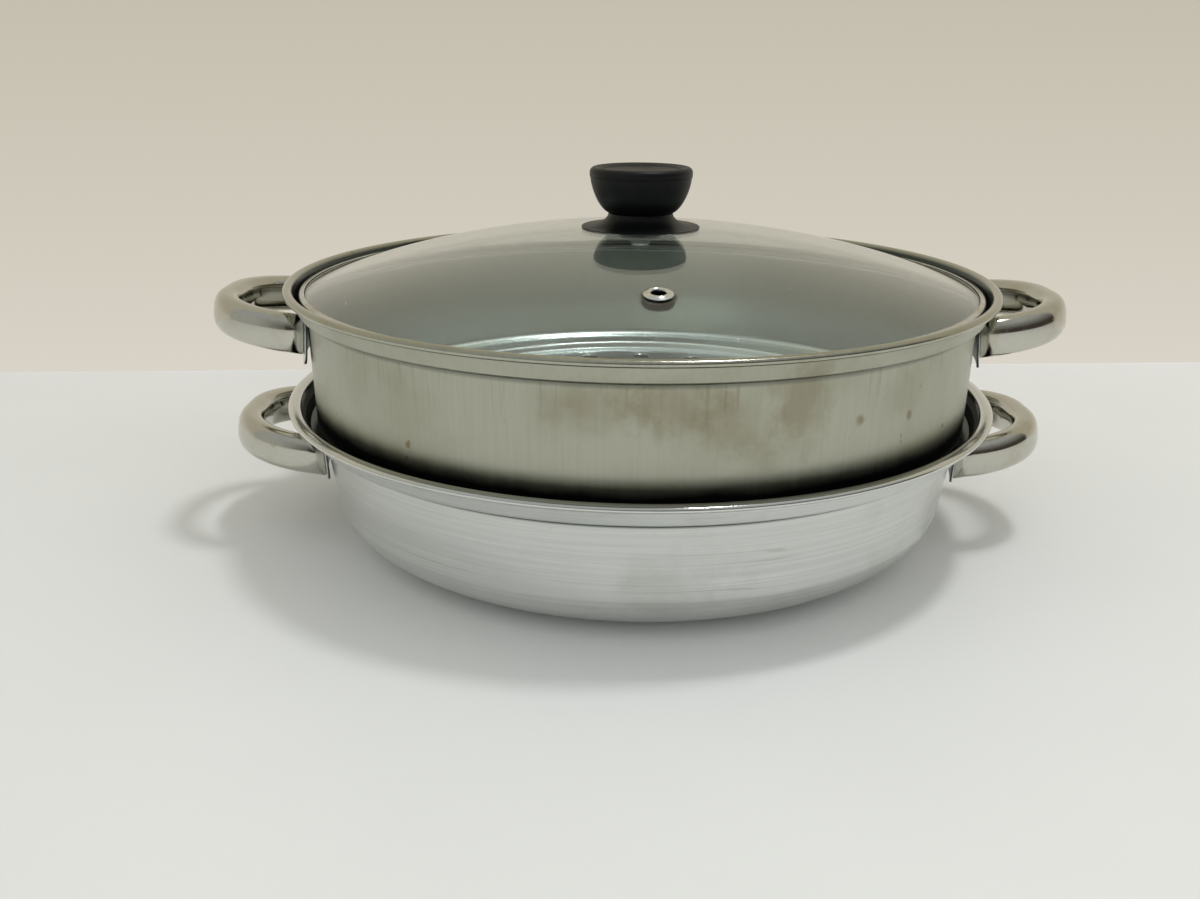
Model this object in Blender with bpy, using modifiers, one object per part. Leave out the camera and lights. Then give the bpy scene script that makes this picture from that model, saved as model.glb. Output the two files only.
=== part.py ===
"""A two-tier steel soup pot: a shallow pot, a steamer tier that nests in its mouth, and a domed glass
lid with a black knob. The rest frame has its origin at the middle of the pot's base, +Z up, with both
pairs of handles on the X axis and the lid's vent on the -Y side. All sizes are in metres.
"""

import math

import bmesh
import bpy
from mathutils import Matrix, Vector

# Stock and fits
SHEET = 0.0008
CLEARANCE = 0.0003
TURN_STEPS = 48
KNOB_STEPS = 32
FASTENER_STEPS = 20
BEVEL_RESOLUTION = 4
RIM_THICKNESS = 0.0030
RIM_POINTS = 6

# Pot
POT_HEIGHT = 0.0637
POT_RADIUS = 0.1395
POT_WALL_SLOPE = 0.16
POT_BASE_RADIUS = 0.1000
POT_CORNER_HEIGHT = 0.0218
POT_CORNER_EXPONENT = 1.8
POT_CORNER_POINTS = 6
POT_NECK_DEPTH = 0.0087
POT_NECK_FLARE = 0.0028
POT_LEDGE_WIDTH = 0.0056
POT_LEDGE_FALL = 0.0011
POT_RIM_WIDTH = 0.0053

# Steamer tier
STEAMER_HEIGHT = 0.0598
STEAMER_PLAY = 0.0030
STEAMER_TAPER = 0.0014
STEAMER_CORNER_RADIUS = 0.0040
STEAMER_CORNER_POINTS = 3
STEAMER_NECK_DEPTH = 0.0078
STEAMER_NECK_FLARE = 0.0015
STEAMER_LEDGE_WIDTH = 0.0036
STEAMER_LEDGE_FALL = 0.0010
STEAMER_RIM_WIDTH = 0.0040
FLOOR_RADIUS = 0.1210
FLOOR_SINK = 0.0033
FLOOR_STEP_SLOPE = 0.0008
HOLE_DIAMETER = 0.0080
HOLE_SIDES = 8
HOLE_RING_PITCH = 0.0251
HOLE_SPACING = 0.0273
HOLE_RINGS = 4
HOLE_TURN = math.radians(87.1)

# Handles and their plates: a hollow loop of oval tube on a curved plate
TUBE_WIDTH = 0.0114
TUBE_HEIGHT = 0.0162
TUBE_WALL = 0.0010
ARM_HALF_SPACING = 0.0374
GRIP_STRAIGHT = 0.0096
HANDLE_BEND_POINTS = 7
HANDLE_RISE = math.radians(8.0)
POT_HANDLE_REACH = 0.0342
POT_HANDLE_DROP = 0.0025
STEAMER_HANDLE_REACH = 0.0364
STEAMER_HANDLE_DROP = 0.0
PLATE_THICKNESS = 0.0010
PLATE_OVERHANG = 0.0042
PLATE_DROP = 0.0037
PLATE_CORNER = 0.0060
PLATE_STANDOFF = 0.0020

# Lid
DOME_RADIUS = 0.4360
GLASS_THICKNESS = 0.0040
GLASS_EDGE_GAP = 0.0005
GLASS_EDGE_ROUND = 0.0010
BAND_SHEET = 0.0005
BAND_PLAY = 0.0004
BAND_BEND = 0.0008
LIP_WIDTH = 0.0023
LINER_THICKNESS = 0.0004
LINER_WIDTH = 0.0014
DOME_SEGMENTS = 5
VENT_INSET = 0.0468
VENT_AZIMUTH = math.radians(-88.0)
VENT_HOLE_RADIUS = 0.0026
VENT_FLANGE_RADIUS = 0.0053
VENT_SHEET = 0.0005
VENT_CONE_HEIGHT = 0.0013
GROMMET_WALL = 0.0012
GROMMET_FLANGE = 0.0005
GROMMET_RADIUS = 0.0055
VENT_RING_RADIUS = 0.0058
VENT_RING_THICKNESS = 0.0008

# Knob and its fastening
SCREW_RADIUS = 0.0025
SCREW_HEAD_RADIUS = 0.0045
SCREW_HEAD_HEIGHT = 0.0028
SCREW_HEAD_ROUND = 0.0009
SCREW_GRIP = 0.0080
GLASS_BORE_RADIUS = 0.0040
WASHER_RADIUS = 0.0090
WASHER_THICKNESS = 0.0010
SEAL_WASHER_RADIUS = 0.0110
SEAL_WASHER_THICKNESS = 0.0015
PAD_RADIUS = 0.0125
PAD_THICKNESS = 0.0010
SKIRT_RADIUS = 0.0254
SKIRT_EDGE = 0.0004
SKIRT_HEIGHT = 0.0054
NECK_RADIUS = 0.0139
SKIRT_POINTS = 5
KNOB_RADIUS = 0.0220
KNOB_HEIGHT = 0.0190
KNOB_LIP_RADIUS = 0.0022
KNOB_LIP_POINTS = 4
KNOB_LIP_WIDTH = 0.0055
KNOB_LIP_FALL = 0.0012
KNOB_BAND = 0.0019
KNOB_BAND_STEP = 0.0002
KNOB_POINTS = 7
KNOB_EXPONENT = 1.55
CAP_THICKNESS = 0.0012
CAP_DISH = 0.0008
CAP_POINTS = 3
INSERT_WALL = 0.0014
INSERT_LENGTH = 0.0095

# Finishes: colour, roughness and metallic value
BRUSHED_STEEL = ((0.50, 0.49, 0.45), 0.36, 1.0)
SATIN_STEEL = ((0.60, 0.59, 0.56), 0.30, 1.0)
POLISHED_STEEL = ((0.72, 0.71, 0.69), 0.12, 1.0)
BRASS = ((0.72, 0.55, 0.28), 0.30, 1.0)
CLEAR_GLASS = ((0.80, 0.86, 0.83), 0.04, 0.0)
BLACK_PLASTIC = ((0.018, 0.018, 0.015), 0.42, 0.0)
GREY_SILICONE = ((0.16, 0.16, 0.15), 0.65, 0.0)


def new_collection(name):
    collection = bpy.data.collections.new(name)
    bpy.context.scene.collection.children.link(collection)
    return collection


def finished(piece, finish):
    """Gives the piece a material of its own."""
    colour, roughness, metallic = finish
    material = bpy.data.materials.new(piece.name + "_finish")
    material.use_nodes = True
    shader = material.node_tree.nodes["Principled BSDF"]
    shader.inputs["Base Color"].default_value = (*colour, 1.0)
    shader.inputs["Roughness"].default_value = roughness
    shader.inputs["Metallic"].default_value = metallic
    piece.data.materials.append(material)
    return piece


def seated(piece, seat):
    """Hangs the piece on the empty at its tier's seat, and leaves it where it is."""
    piece.parent = seat
    piece.matrix_parent_inverse = Matrix.Translation(-seat.location)
    return piece


def new_seat(name, height):
    seat = bpy.data.objects.new(name, None)
    seat.location = (0.0, 0.0, height)
    parts.objects.link(seat)
    return seat


def turned(name, outline, steps):
    """Spins a closed outline of (radius, height) points about Z. It runs down its outer side."""
    edges = []
    for i, (radius, _) in enumerate(outline):
        after = (i + 1) % len(outline)
        on_axis = radius == 0.0 and outline[after][0] == 0.0
        if not on_axis:
            edges.append((i, after))
    mesh = bpy.data.meshes.new(name)
    mesh.from_pydata([(radius, 0.0, height) for radius, height in outline], edges, [])
    piece = bpy.data.objects.new(name, mesh)
    parts.objects.link(piece)
    screw = piece.modifiers.new("turn", "SCREW")
    screw.axis = "Z"
    screw.angle = math.tau
    screw.steps = steps
    screw.render_steps = steps
    screw.use_merge_vertices = True
    screw.merge_threshold = 0.00001
    screw.use_smooth_shade = True
    return piece


def ring_outline(inner, outer, low, high):
    """The four corners of a plain washer."""
    return [(inner, high), (outer, high), (outer, low), (inner, low)]


def offset_line(line, distance):
    """The line moved sideways to its right by the distance, with mitred corners."""
    moved = []
    for i, point in enumerate(line):
        before = Vector(line[max(i - 1, 0)])
        here = Vector(point)
        after = Vector(line[min(i + 1, len(line) - 1)])
        arriving = (here - before) if i > 0 else (after - here)
        leaving = (after - here) if i < len(line) - 1 else arriving
        first = Vector((arriving.y, -arriving.x)).normalized()
        second = Vector((leaving.y, -leaving.x)).normalized()
        bisector = (first + second).normalized()
        moved.append(tuple(here + bisector * (distance / bisector.dot(first))))
    return moved


def arc(centre, radius, start, end, segments):
    """Points on an arc from one angle to another, both ends included."""
    points = []
    for i in range(segments + 1):
        angle = start + (end - start) * i / segments
        points.append((centre[0] + radius * math.cos(angle), centre[1] + radius * math.sin(angle)))
    return points


def rolled_rim(inner_radius, centre_height, width):
    """The rim's bead, from its inner end over the top to where the neck's outer face begins."""
    half_width = width / 2
    half_height = RIM_THICKNESS / 2
    end = -math.pi + math.acos(max(1 - SHEET / half_width, -1.0))
    points = []
    for i in range(RIM_POINTS + 1):
        angle = math.pi + (end - math.pi) * i / RIM_POINTS
        radius = inner_radius + half_width * (1 + math.cos(angle))
        points.append((radius, centre_height + half_height * math.sin(angle)))
    return points


def add_cutter(name, mesh):
    cutter = bpy.data.objects.new(name, mesh)
    cutters.objects.link(cutter)
    cutter.hide_render = True
    cutter.display_type = "WIRE"
    return cutter


def combine(piece, other, operation):
    step = piece.modifiers.new(other.name, "BOOLEAN")
    step.operation = operation
    step.object = other


def cone_mesh(name, low_radius, high_radius, low, high, segments, places=((0.0, 0.0),)):
    """Upright cylinders or cones, one at each (x, y) place, as one cutter mesh."""
    mesh = bpy.data.meshes.new(name)
    shape = bmesh.new()
    for x, y in places:
        bmesh.ops.create_cone(
            shape,
            cap_ends=True,
            segments=segments,
            radius1=low_radius,
            radius2=high_radius,
            depth=high - low,
            matrix=Matrix.Translation((x, y, (low + high) / 2)),
        )
    shape.to_mesh(mesh)
    shape.free()
    return mesh


def tube_mesh(name, path, width, height):
    """A tube of oval section along a flat path, as a mesh with welded caps."""
    curve = bpy.data.curves.new(name, "CURVE")
    curve.dimensions = "3D"
    curve.bevel_depth = width / 2
    curve.bevel_resolution = BEVEL_RESOLUTION
    curve.use_fill_caps = True
    spline = curve.splines.new("POLY")
    spline.points.add(len(path) - 1)
    for point, (x, y) in zip(spline.points, path):
        point.co = (x, y, 0.0, 1.0)
    guide = bpy.data.objects.new(name, curve)
    cutters.objects.link(guide)
    mesh = bpy.data.meshes.new_from_object(guide.evaluated_get(bpy.context.evaluated_depsgraph_get()))
    mesh.name = name
    bpy.data.objects.remove(guide)
    shape = bmesh.new()
    shape.from_mesh(mesh)
    bmesh.ops.remove_doubles(shape, verts=shape.verts, dist=0.00001)
    shape.to_mesh(mesh)
    shape.free()
    mesh.transform(Matrix.Diagonal((1.0, 1.0, height / width, 1.0)))
    mesh.shade_smooth()
    return mesh


def handle_path(start, grip):
    """The centre line of a handle in its own plane: out along one arm, across the grip and back."""
    near = GRIP_STRAIGHT / 2
    bend = ARM_HALF_SPACING - near
    quarter = math.pi / 2
    path = [(start, -ARM_HALF_SPACING)]
    path += arc((grip - bend, -near), bend, -quarter, 0.0, HANDLE_BEND_POINTS)
    path += arc((grip - bend, near), bend, 0.0, quarter, HANDLE_BEND_POINTS)
    path.append((start, ARM_HALF_SPACING))
    return path


def add_handles(tier, wall_radius, wall_slope, wall_top, reach, drop, seat):
    """Two hollow handles, each with the curved plate that is spot-welded to the wall behind it."""
    plate_top = wall_top - CLEARANCE
    plate_low = plate_top - TUBE_HEIGHT - PLATE_DROP
    tube_middle = plate_top - drop - TUBE_HEIGHT / 2
    plate_height = plate_top - plate_low
    inner_top = wall_radius - wall_slope * CLEARANCE + CLEARANCE
    inner_low = inner_top - wall_slope * plate_height + PLATE_STANDOFF
    lean = (inner_top - inner_low) / plate_height
    plate_outline = [
        (inner_top, plate_top),
        (inner_top + PLATE_THICKNESS, plate_top),
        (inner_low + PLATE_THICKNESS, plate_low),
        (inner_low, plate_low),
    ]
    face_radius = (inner_top + inner_low) / 2 + PLATE_THICKNESS + CLEARANCE
    start = wall_radius - TUBE_HEIGHT
    bore_start = start - TUBE_WIDTH
    grip = wall_radius + reach
    for side, turn in (("left", math.pi), ("right", 0.0)):
        placing = (
            Matrix.Rotation(turn, 4, "Z")
            @ Matrix.Translation((wall_radius, 0.0, tube_middle))
            @ Matrix.Rotation(-HANDLE_RISE, 4, "Y")
            @ Matrix.Translation((-wall_radius, 0.0, 0.0))
        )
        name = f"{tier}_handle_{side}"
        mesh = tube_mesh(name, handle_path(start, grip), TUBE_WIDTH, TUBE_HEIGHT)
        mesh.transform(placing)
        handle = bpy.data.objects.new(name, mesh)
        parts.objects.link(handle)
        bore = tube_mesh(
            f"{name}_bore",
            handle_path(bore_start, grip),
            TUBE_WIDTH - 2 * TUBE_WALL,
            TUBE_HEIGHT - 2 * TUBE_WALL,
        )
        bore.transform(placing)
        combine(handle, add_cutter(f"{name}_bore", bore), "DIFFERENCE")
        ends = end_cut(f"{name}_ends", face_radius, (plate_low + plate_top) / 2, lean)
        ends.transform(Matrix.Rotation(turn, 4, "Z"))
        combine(handle, add_cutter(f"{name}_ends", ends), "DIFFERENCE")
        seated(finished(handle, POLISHED_STEEL), seat)

        plate = turned(f"{tier}_handle_plate_{side}", plate_outline, TURN_STEPS)
        outline = plate_shape(f"{tier}_plate_shape_{side}", wall_radius, plate_low, plate_top)
        outline.transform(Matrix.Rotation(turn, 4, "Z"))
        combine(plate, add_cutter(f"{tier}_plate_shape_{side}", outline), "INTERSECT")
        seated(finished(plate, SATIN_STEEL), seat)


def end_cut(name, face_radius, middle, lean):
    """Two blocks, one in each arm, whose outer faces lie along the plate's face."""
    shape = bmesh.new()
    around = math.asin(ARM_HALF_SPACING / face_radius)
    depth = 3 * TUBE_HEIGHT
    for turn in (-around, around):
        placing = (
            Matrix.Rotation(turn, 4, "Z")
            @ Matrix.Translation((face_radius, 0.0, middle))
            @ Matrix.Rotation(math.atan(lean), 4, "Y")
            @ Matrix.Translation((-depth / 2, 0.0, 0.0))
            @ Matrix.Diagonal((depth, 3 * TUBE_WIDTH, 3 * TUBE_HEIGHT, 1.0))
        )
        bmesh.ops.create_cube(shape, size=1.0, matrix=placing)
    mesh = bpy.data.meshes.new(name)
    shape.to_mesh(mesh)
    shape.free()
    return mesh


def plate_shape(name, wall_radius, low, high):
    """A block with four rounded edges along X, whose face is the plate's outline."""
    half_width = ARM_HALF_SPACING + TUBE_WIDTH / 2 + PLATE_OVERHANG
    size = Vector((wall_radius, 2 * half_width, high - low))
    shape = bmesh.new()
    bmesh.ops.create_cube(shape, size=1.0, matrix=Matrix.Diagonal((*size, 1.0)))
    along = [edge for edge in shape.edges if abs((edge.verts[0].co - edge.verts[1].co).x) > size.x / 2]
    corner = min(PLATE_CORNER, 0.45 * size.z)
    bmesh.ops.bevel(
        shape, geom=along, offset=corner, offset_type="OFFSET", segments=3, profile=0.5, affect="EDGES", material=-1
    )
    mesh = bpy.data.meshes.new(name)
    shape.to_mesh(mesh)
    shape.free()
    mesh.transform(Matrix.Translation((wall_radius, 0.0, (low + high) / 2)))
    return mesh


for existing in list(bpy.data.objects):
    bpy.data.objects.remove(existing)
parts = new_collection("soup_pot")
cutters = new_collection("cutters")

# Pot: one drawn sheet with a rounded base, a ledge and a flared neck that the steamer sits in
pot_rim_middle = POT_HEIGHT - RIM_THICKNESS / 2
pot_crease = (POT_RADIUS + POT_LEDGE_WIDTH, pot_rim_middle - POT_NECK_DEPTH)
pot_wall_top = (POT_RADIUS, pot_crease[1] - POT_LEDGE_FALL)
pot_wall_low = (
    POT_RADIUS - POT_WALL_SLOPE * (pot_wall_top[1] - POT_CORNER_HEIGHT),
    POT_CORNER_HEIGHT,
)
pot_rim_inner = pot_crease[0] + POT_NECK_FLARE
pot_bead = rolled_rim(pot_rim_inner, pot_rim_middle, POT_RIM_WIDTH)
pot_corner = []
for i in range(POT_CORNER_POINTS + 1):
    angle = math.pi / 2 * i / POT_CORNER_POINTS
    across = max(math.cos(angle), 0.0) ** (2 / POT_CORNER_EXPONENT)
    down = math.sin(angle) ** (2 / POT_CORNER_EXPONENT)
    pot_corner.append(
        (
            POT_BASE_RADIUS + (pot_wall_low[0] - POT_BASE_RADIUS) * across,
            POT_CORNER_HEIGHT * (1 - down),
        )
    )
pot_outer = [pot_bead[-1], pot_crease, pot_wall_top] + pot_corner + [(0.0, 0.0)]
pot_inner = offset_line(pot_outer, SHEET)[1:]
pot_shell = turned("pot_shell", pot_bead + pot_outer[1:] + pot_inner[::-1], TURN_STEPS)
pot_seat = new_seat("pot_base", 0.0)
seated(finished(pot_shell, SATIN_STEEL), pot_seat)
add_handles(
    "pot", pot_wall_top[0], POT_WALL_SLOPE, pot_wall_top[1], POT_HANDLE_REACH, POT_HANDLE_DROP, pot_seat
)

# Steamer tier: its rounded lower corner rests on the inner end of the pot's ledge
pot_ledge_outer = pot_inner[0]
pot_ledge_inner = pot_inner[1]
steamer_low_radius = pot_ledge_outer[0] - STEAMER_PLAY
corner_middle_radius = steamer_low_radius - STEAMER_CORNER_RADIUS
corner_reach = STEAMER_CORNER_RADIUS + CLEARANCE
corner_side = corner_middle_radius - pot_ledge_inner[0]
corner_middle = (corner_middle_radius, pot_ledge_inner[1] + math.sqrt(corner_reach**2 - corner_side**2))
steamer_base = corner_middle[1] - STEAMER_CORNER_RADIUS
steamer_rim_middle = steamer_base + STEAMER_HEIGHT - RIM_THICKNESS / 2
steamer_wall_radius = steamer_low_radius + STEAMER_TAPER
steamer_crease = (steamer_wall_radius + STEAMER_LEDGE_WIDTH, steamer_rim_middle - STEAMER_NECK_DEPTH)
steamer_wall_top = (steamer_wall_radius, steamer_crease[1] - STEAMER_LEDGE_FALL)
steamer_rim_inner = steamer_crease[0] + STEAMER_NECK_FLARE
steamer_bead = rolled_rim(steamer_rim_inner, steamer_rim_middle, STEAMER_RIM_WIDTH)
floor_low = steamer_base - FLOOR_SINK
steamer_outer = [steamer_bead[-1], steamer_crease, steamer_wall_top]
steamer_outer += arc(corner_middle, STEAMER_CORNER_RADIUS, 0.0, -math.pi / 2, STEAMER_CORNER_POINTS)
steamer_outer += [
    (FLOOR_RADIUS + FLOOR_STEP_SLOPE, steamer_base),
    (FLOOR_RADIUS, floor_low),
    (0.0, floor_low),
]
steamer_inner = offset_line(steamer_outer, SHEET)[1:]
steamer_shell = turned(
    "steamer_shell", steamer_bead + steamer_outer[1:] + steamer_inner[::-1], TURN_STEPS
)
hole_places = [(0.0, 0.0)]
for ring in range(1, HOLE_RINGS + 1):
    ring_radius = ring * HOLE_RING_PITCH
    in_ring = round(math.tau * ring_radius / HOLE_SPACING)
    for i in range(in_ring):
        angle = HOLE_TURN + math.tau * i / in_ring
        hole_places.append((ring_radius * math.cos(angle), ring_radius * math.sin(angle)))
steam_holes = cone_mesh(
    "steam_holes",
    HOLE_DIAMETER / 2,
    HOLE_DIAMETER / 2,
    floor_low - SHEET,
    floor_low + 2 * SHEET,
    HOLE_SIDES,
    hole_places,
)
combine(steamer_shell, add_cutter("steam_holes", steam_holes), "DIFFERENCE")
steamer_seat = new_seat("steamer_seat", steamer_base)
seated(finished(steamer_shell, BRUSHED_STEEL), steamer_seat)
steamer_wall_slope = STEAMER_TAPER / (steamer_wall_top[1] - corner_middle[1])
add_handles(
    "steamer",
    steamer_wall_radius,
    steamer_wall_slope,
    steamer_wall_top[1],
    STEAMER_HANDLE_REACH,
    STEAMER_HANDLE_DROP,
    steamer_seat,
)

# Lid: the band wraps the glass's edge and rests on the steamer's ledge
ledge_outer = steamer_inner[0]
ledge_inner = steamer_inner[1]
ledge_slope = (ledge_outer[1] - ledge_inner[1]) / (ledge_outer[0] - ledge_inner[0])


def ledge_height(radius):
    return ledge_outer[1] + ledge_slope * (radius - ledge_outer[0])


band_outer = ledge_outer[0] - BAND_PLAY
lip_outer = band_outer - BAND_BEND
lip_inner = lip_outer - LIP_WIDTH
liner_outer = lip_inner + LINER_WIDTH
liner_lift = 2 * CLEARANCE + BAND_SHEET
glass_rest = ledge_height(liner_outer) + liner_lift + LINER_THICKNESS + CLEARANCE
dome_middle = glass_rest - math.sqrt((DOME_RADIUS - GLASS_THICKNESS) ** 2 - liner_outer**2)


def glass_top(radius):
    return dome_middle + math.sqrt(DOME_RADIUS**2 - radius**2)


def glass_under(radius):
    return dome_middle + math.sqrt((DOME_RADIUS - GLASS_THICKNESS) ** 2 - radius**2)


glass_radius = band_outer - BAND_SHEET - GLASS_EDGE_GAP
glass_face = glass_radius - GLASS_EDGE_ROUND
glass_radii = [
    GLASS_BORE_RADIUS + (glass_face - GLASS_BORE_RADIUS) * i / DOME_SEGMENTS for i in range(DOME_SEGMENTS + 1)
]
glass_outline = [(radius, glass_top(radius)) for radius in glass_radii]
glass_outline.append((glass_radius, glass_top(glass_radius) - GLASS_EDGE_ROUND))
glass_outline.append((glass_radius, glass_under(glass_radius) + GLASS_EDGE_ROUND))
glass_outline += [(radius, glass_under(radius)) for radius in reversed(glass_radii)]
lid_glass = turned("lid_glass", glass_outline, TURN_STEPS)
lid_seat = new_seat("lid_seat", ledge_outer[1])
seated(finished(lid_glass, CLEAR_GLASS), lid_seat)

lip_lift = CLEARANCE + BAND_SHEET
top_lip_height = glass_top(lip_outer) + lip_lift
low_lip_height = ledge_height(lip_outer) + CLEARANCE
band_line = [
    (lip_inner + BAND_BEND, glass_top(lip_inner + BAND_BEND) + lip_lift),
    (lip_outer, top_lip_height),
    (band_outer, top_lip_height - BAND_BEND),
    (band_outer, low_lip_height + BAND_BEND),
    (lip_outer, low_lip_height),
    (lip_inner, ledge_height(lip_inner) + CLEARANCE),
]
lid_band = turned("lid_band", band_line + offset_line(band_line, BAND_SHEET)[::-1], TURN_STEPS)
seated(finished(lid_band, BRUSHED_STEEL), lid_seat)
liner_low = [(radius, ledge_height(radius) + liner_lift) for radius in (liner_outer, lip_inner)]
liner_high = [(radius, height + LINER_THICKNESS) for radius, height in liner_low[::-1]]
lid_edge_seal = turned("lid_edge_seal", liner_high + liner_low, TURN_STEPS)
seated(finished(lid_edge_seal, GREY_SILICONE), lid_seat)

# Vent: a steel eyelet with a low cone of a flange, clinched through a silicone grommet in the glass
vent_radius = glass_radius - VENT_INSET
tube_radius = VENT_HOLE_RADIUS + VENT_SHEET
sleeve_inner = tube_radius + CLEARANCE
sleeve_outer = sleeve_inner + GROMMET_WALL
vent_bore = sleeve_outer + CLEARANCE
vent_bore_cut = cone_mesh(
    "vent_bore", vent_bore, vent_bore, -2 * GLASS_THICKNESS, GLASS_THICKNESS, FASTENER_STEPS
)
vent_placing = (
    Matrix.Translation((0.0, 0.0, dome_middle))
    @ Matrix.Rotation(VENT_AZIMUTH, 4, "Z")
    @ Matrix.Rotation(math.asin(vent_radius / DOME_RADIUS), 4, "Y")
    @ Matrix.Translation((0.0, 0.0, DOME_RADIUS))
)
vent_bore_cut.transform(vent_placing)
combine(lid_glass, add_cutter("vent_bore", vent_bore_cut), "DIFFERENCE")
grommet_flange_top = -GLASS_THICKNESS - 2 * CLEARANCE
grommet_low = grommet_flange_top - GROMMET_FLANGE
backing_top = grommet_low - CLEARANCE
backing_low = backing_top - VENT_RING_THICKNESS
clinch_top = backing_low - CLEARANCE
clinch_radius = (tube_radius + VENT_RING_RADIUS) / 2
eyelet_line = [
    (VENT_FLANGE_RADIUS, CLEARANCE),
    (tube_radius, CLEARANCE + VENT_CONE_HEIGHT),
    (tube_radius, clinch_top),
    (clinch_radius, clinch_top),
]
grommet_outline = [
    (sleeve_inner, 0.0),
    (sleeve_outer, 0.0),
    (sleeve_outer, grommet_flange_top),
    (GROMMET_RADIUS, grommet_flange_top),
    (GROMMET_RADIUS, grommet_low),
    (sleeve_inner, grommet_low),
]
backing_outline = ring_outline(sleeve_inner, VENT_RING_RADIUS, backing_low, backing_top)
vent_pieces = (
    ("vent_eyelet", offset_line(eyelet_line, VENT_SHEET)[::-1] + eyelet_line, POLISHED_STEEL),
    ("vent_grommet", grommet_outline, GREY_SILICONE),
    ("vent_backing_ring", backing_outline, POLISHED_STEEL),
)
for name, outline, finish in vent_pieces:
    vent_piece = turned(name, outline, FASTENER_STEPS)
    vent_piece.matrix_world = vent_placing
    seated(finished(vent_piece, finish), lid_seat)

# Knob: a cup-shaped grip on a flared skirt, drawn down on the glass by one screw from below
shank_bore = SCREW_RADIUS + CLEARANCE
pad_low = glass_top(0.0) + CLEARANCE
pad_top = pad_low + PAD_THICKNESS
skirt_recess = pad_top + CLEARANCE
skirt_top = glass_top(0.0) + SKIRT_HEIGHT
skirt_edge_low = glass_top(SKIRT_RADIUS) + CLEARANCE
skirt_edge_top = skirt_edge_low + SKIRT_EDGE
recess_radius = PAD_RADIUS + CLEARANCE
skirt_outline = [(shank_bore, skirt_top)]
for i in range(SKIRT_POINTS + 1):
    angle = math.pi / 2 * i / SKIRT_POINTS
    skirt_outline.append(
        (
            SKIRT_RADIUS - (SKIRT_RADIUS - NECK_RADIUS) * math.cos(angle),
            skirt_top - (skirt_top - skirt_edge_top) * math.sin(angle),
        )
    )
skirt_outline += [
    (SKIRT_RADIUS, skirt_edge_low),
    (recess_radius, glass_top(recess_radius) + CLEARANCE),
    (recess_radius, skirt_recess),
    (shank_bore, skirt_recess),
]

body_low = skirt_top + CLEARANCE
body_top = body_low + KNOB_HEIGHT
body_waist = body_top - KNOB_LIP_RADIUS
band_low = body_waist - KNOB_BAND
bowl_radius = KNOB_RADIUS - KNOB_BAND_STEP
dish_floor = body_top - KNOB_LIP_FALL - CAP_THICKNESS - CLEARANCE
cap_radius = KNOB_RADIUS - KNOB_LIP_WIDTH
insert_radius = shank_bore + INSERT_WALL
pocket_radius = insert_radius + CLEARANCE
pocket_top = body_low + INSERT_LENGTH + CLEARANCE
body_outline = [
    (0.0, dish_floor),
    (cap_radius + CLEARANCE, dish_floor),
    (cap_radius + CLEARANCE, body_top - KNOB_LIP_FALL),
]
body_outline += arc(
    (KNOB_RADIUS - KNOB_LIP_RADIUS, body_waist), KNOB_LIP_RADIUS, math.pi / 2, 0.0, KNOB_LIP_POINTS
)
body_outline.append((KNOB_RADIUS, band_low))
for i in range(KNOB_POINTS + 1):
    angle = math.pi / 2 * i / KNOB_POINTS
    out = max(math.cos(angle), 0.0) ** (2 / KNOB_EXPONENT)
    down = math.sin(angle) ** (2 / KNOB_EXPONENT)
    body_outline.append(
        (
            NECK_RADIUS + (bowl_radius - NECK_RADIUS) * out,
            band_low - (band_low - body_low) * down,
        )
    )
body_outline += [(pocket_radius, body_low), (pocket_radius, pocket_top), (0.0, pocket_top)]

cap_low = dish_floor + CLEARANCE
cap_edge = cap_low + CAP_THICKNESS
cap_outline = []
for i in range(CAP_POINTS + 1):
    share = i / CAP_POINTS
    cap_outline.append((cap_radius * share, cap_edge - CAP_DISH * (1 - share**2)))
cap_outline += [(cap_radius, cap_low), (0.0, cap_low)]

seal_washer_top = glass_under(SEAL_WASHER_RADIUS) - CLEARANCE
seal_washer_low = seal_washer_top - SEAL_WASHER_THICKNESS
washer_top = seal_washer_low - CLEARANCE
washer_low = washer_top - WASHER_THICKNESS
head_top = washer_low - CLEARANCE
head_low = head_top - SCREW_HEAD_HEIGHT
screw_end = body_low + SCREW_GRIP
screw_outline = [
    (0.0, screw_end),
    (SCREW_RADIUS, screw_end),
    (SCREW_RADIUS, head_top),
    (SCREW_HEAD_RADIUS, head_top),
    (SCREW_HEAD_RADIUS, head_low + SCREW_HEAD_ROUND),
    (SCREW_HEAD_RADIUS - SCREW_HEAD_ROUND, head_low),
    (0.0, head_low),
]
knob_pieces = (
    ("knob_body", body_outline, KNOB_STEPS, BLACK_PLASTIC),
    ("knob_skirt", skirt_outline, KNOB_STEPS, BLACK_PLASTIC),
    ("knob_cap", cap_outline, KNOB_STEPS, BLACK_PLASTIC),
    (
        "knob_insert",
        ring_outline(shank_bore, insert_radius, body_low, body_low + INSERT_LENGTH),
        FASTENER_STEPS,
        BRASS,
    ),
    ("knob_screw", screw_outline, FASTENER_STEPS, POLISHED_STEEL),
    ("knob_washer", ring_outline(shank_bore, WASHER_RADIUS, washer_low, washer_top), KNOB_STEPS, SATIN_STEEL),
    (
        "knob_seal_washer",
        ring_outline(shank_bore, SEAL_WASHER_RADIUS, seal_washer_low, seal_washer_top),
        KNOB_STEPS,
        GREY_SILICONE,
    ),
    ("knob_seal_pad", ring_outline(shank_bore, PAD_RADIUS, pad_low, pad_top), KNOB_STEPS, GREY_SILICONE),
)
for name, outline, steps, finish in knob_pieces:
    seated(finished(turned(name, outline, steps), finish), lid_seat)
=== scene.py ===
import math

import bmesh
import bpy
from mathutils import Matrix, Vector


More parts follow.
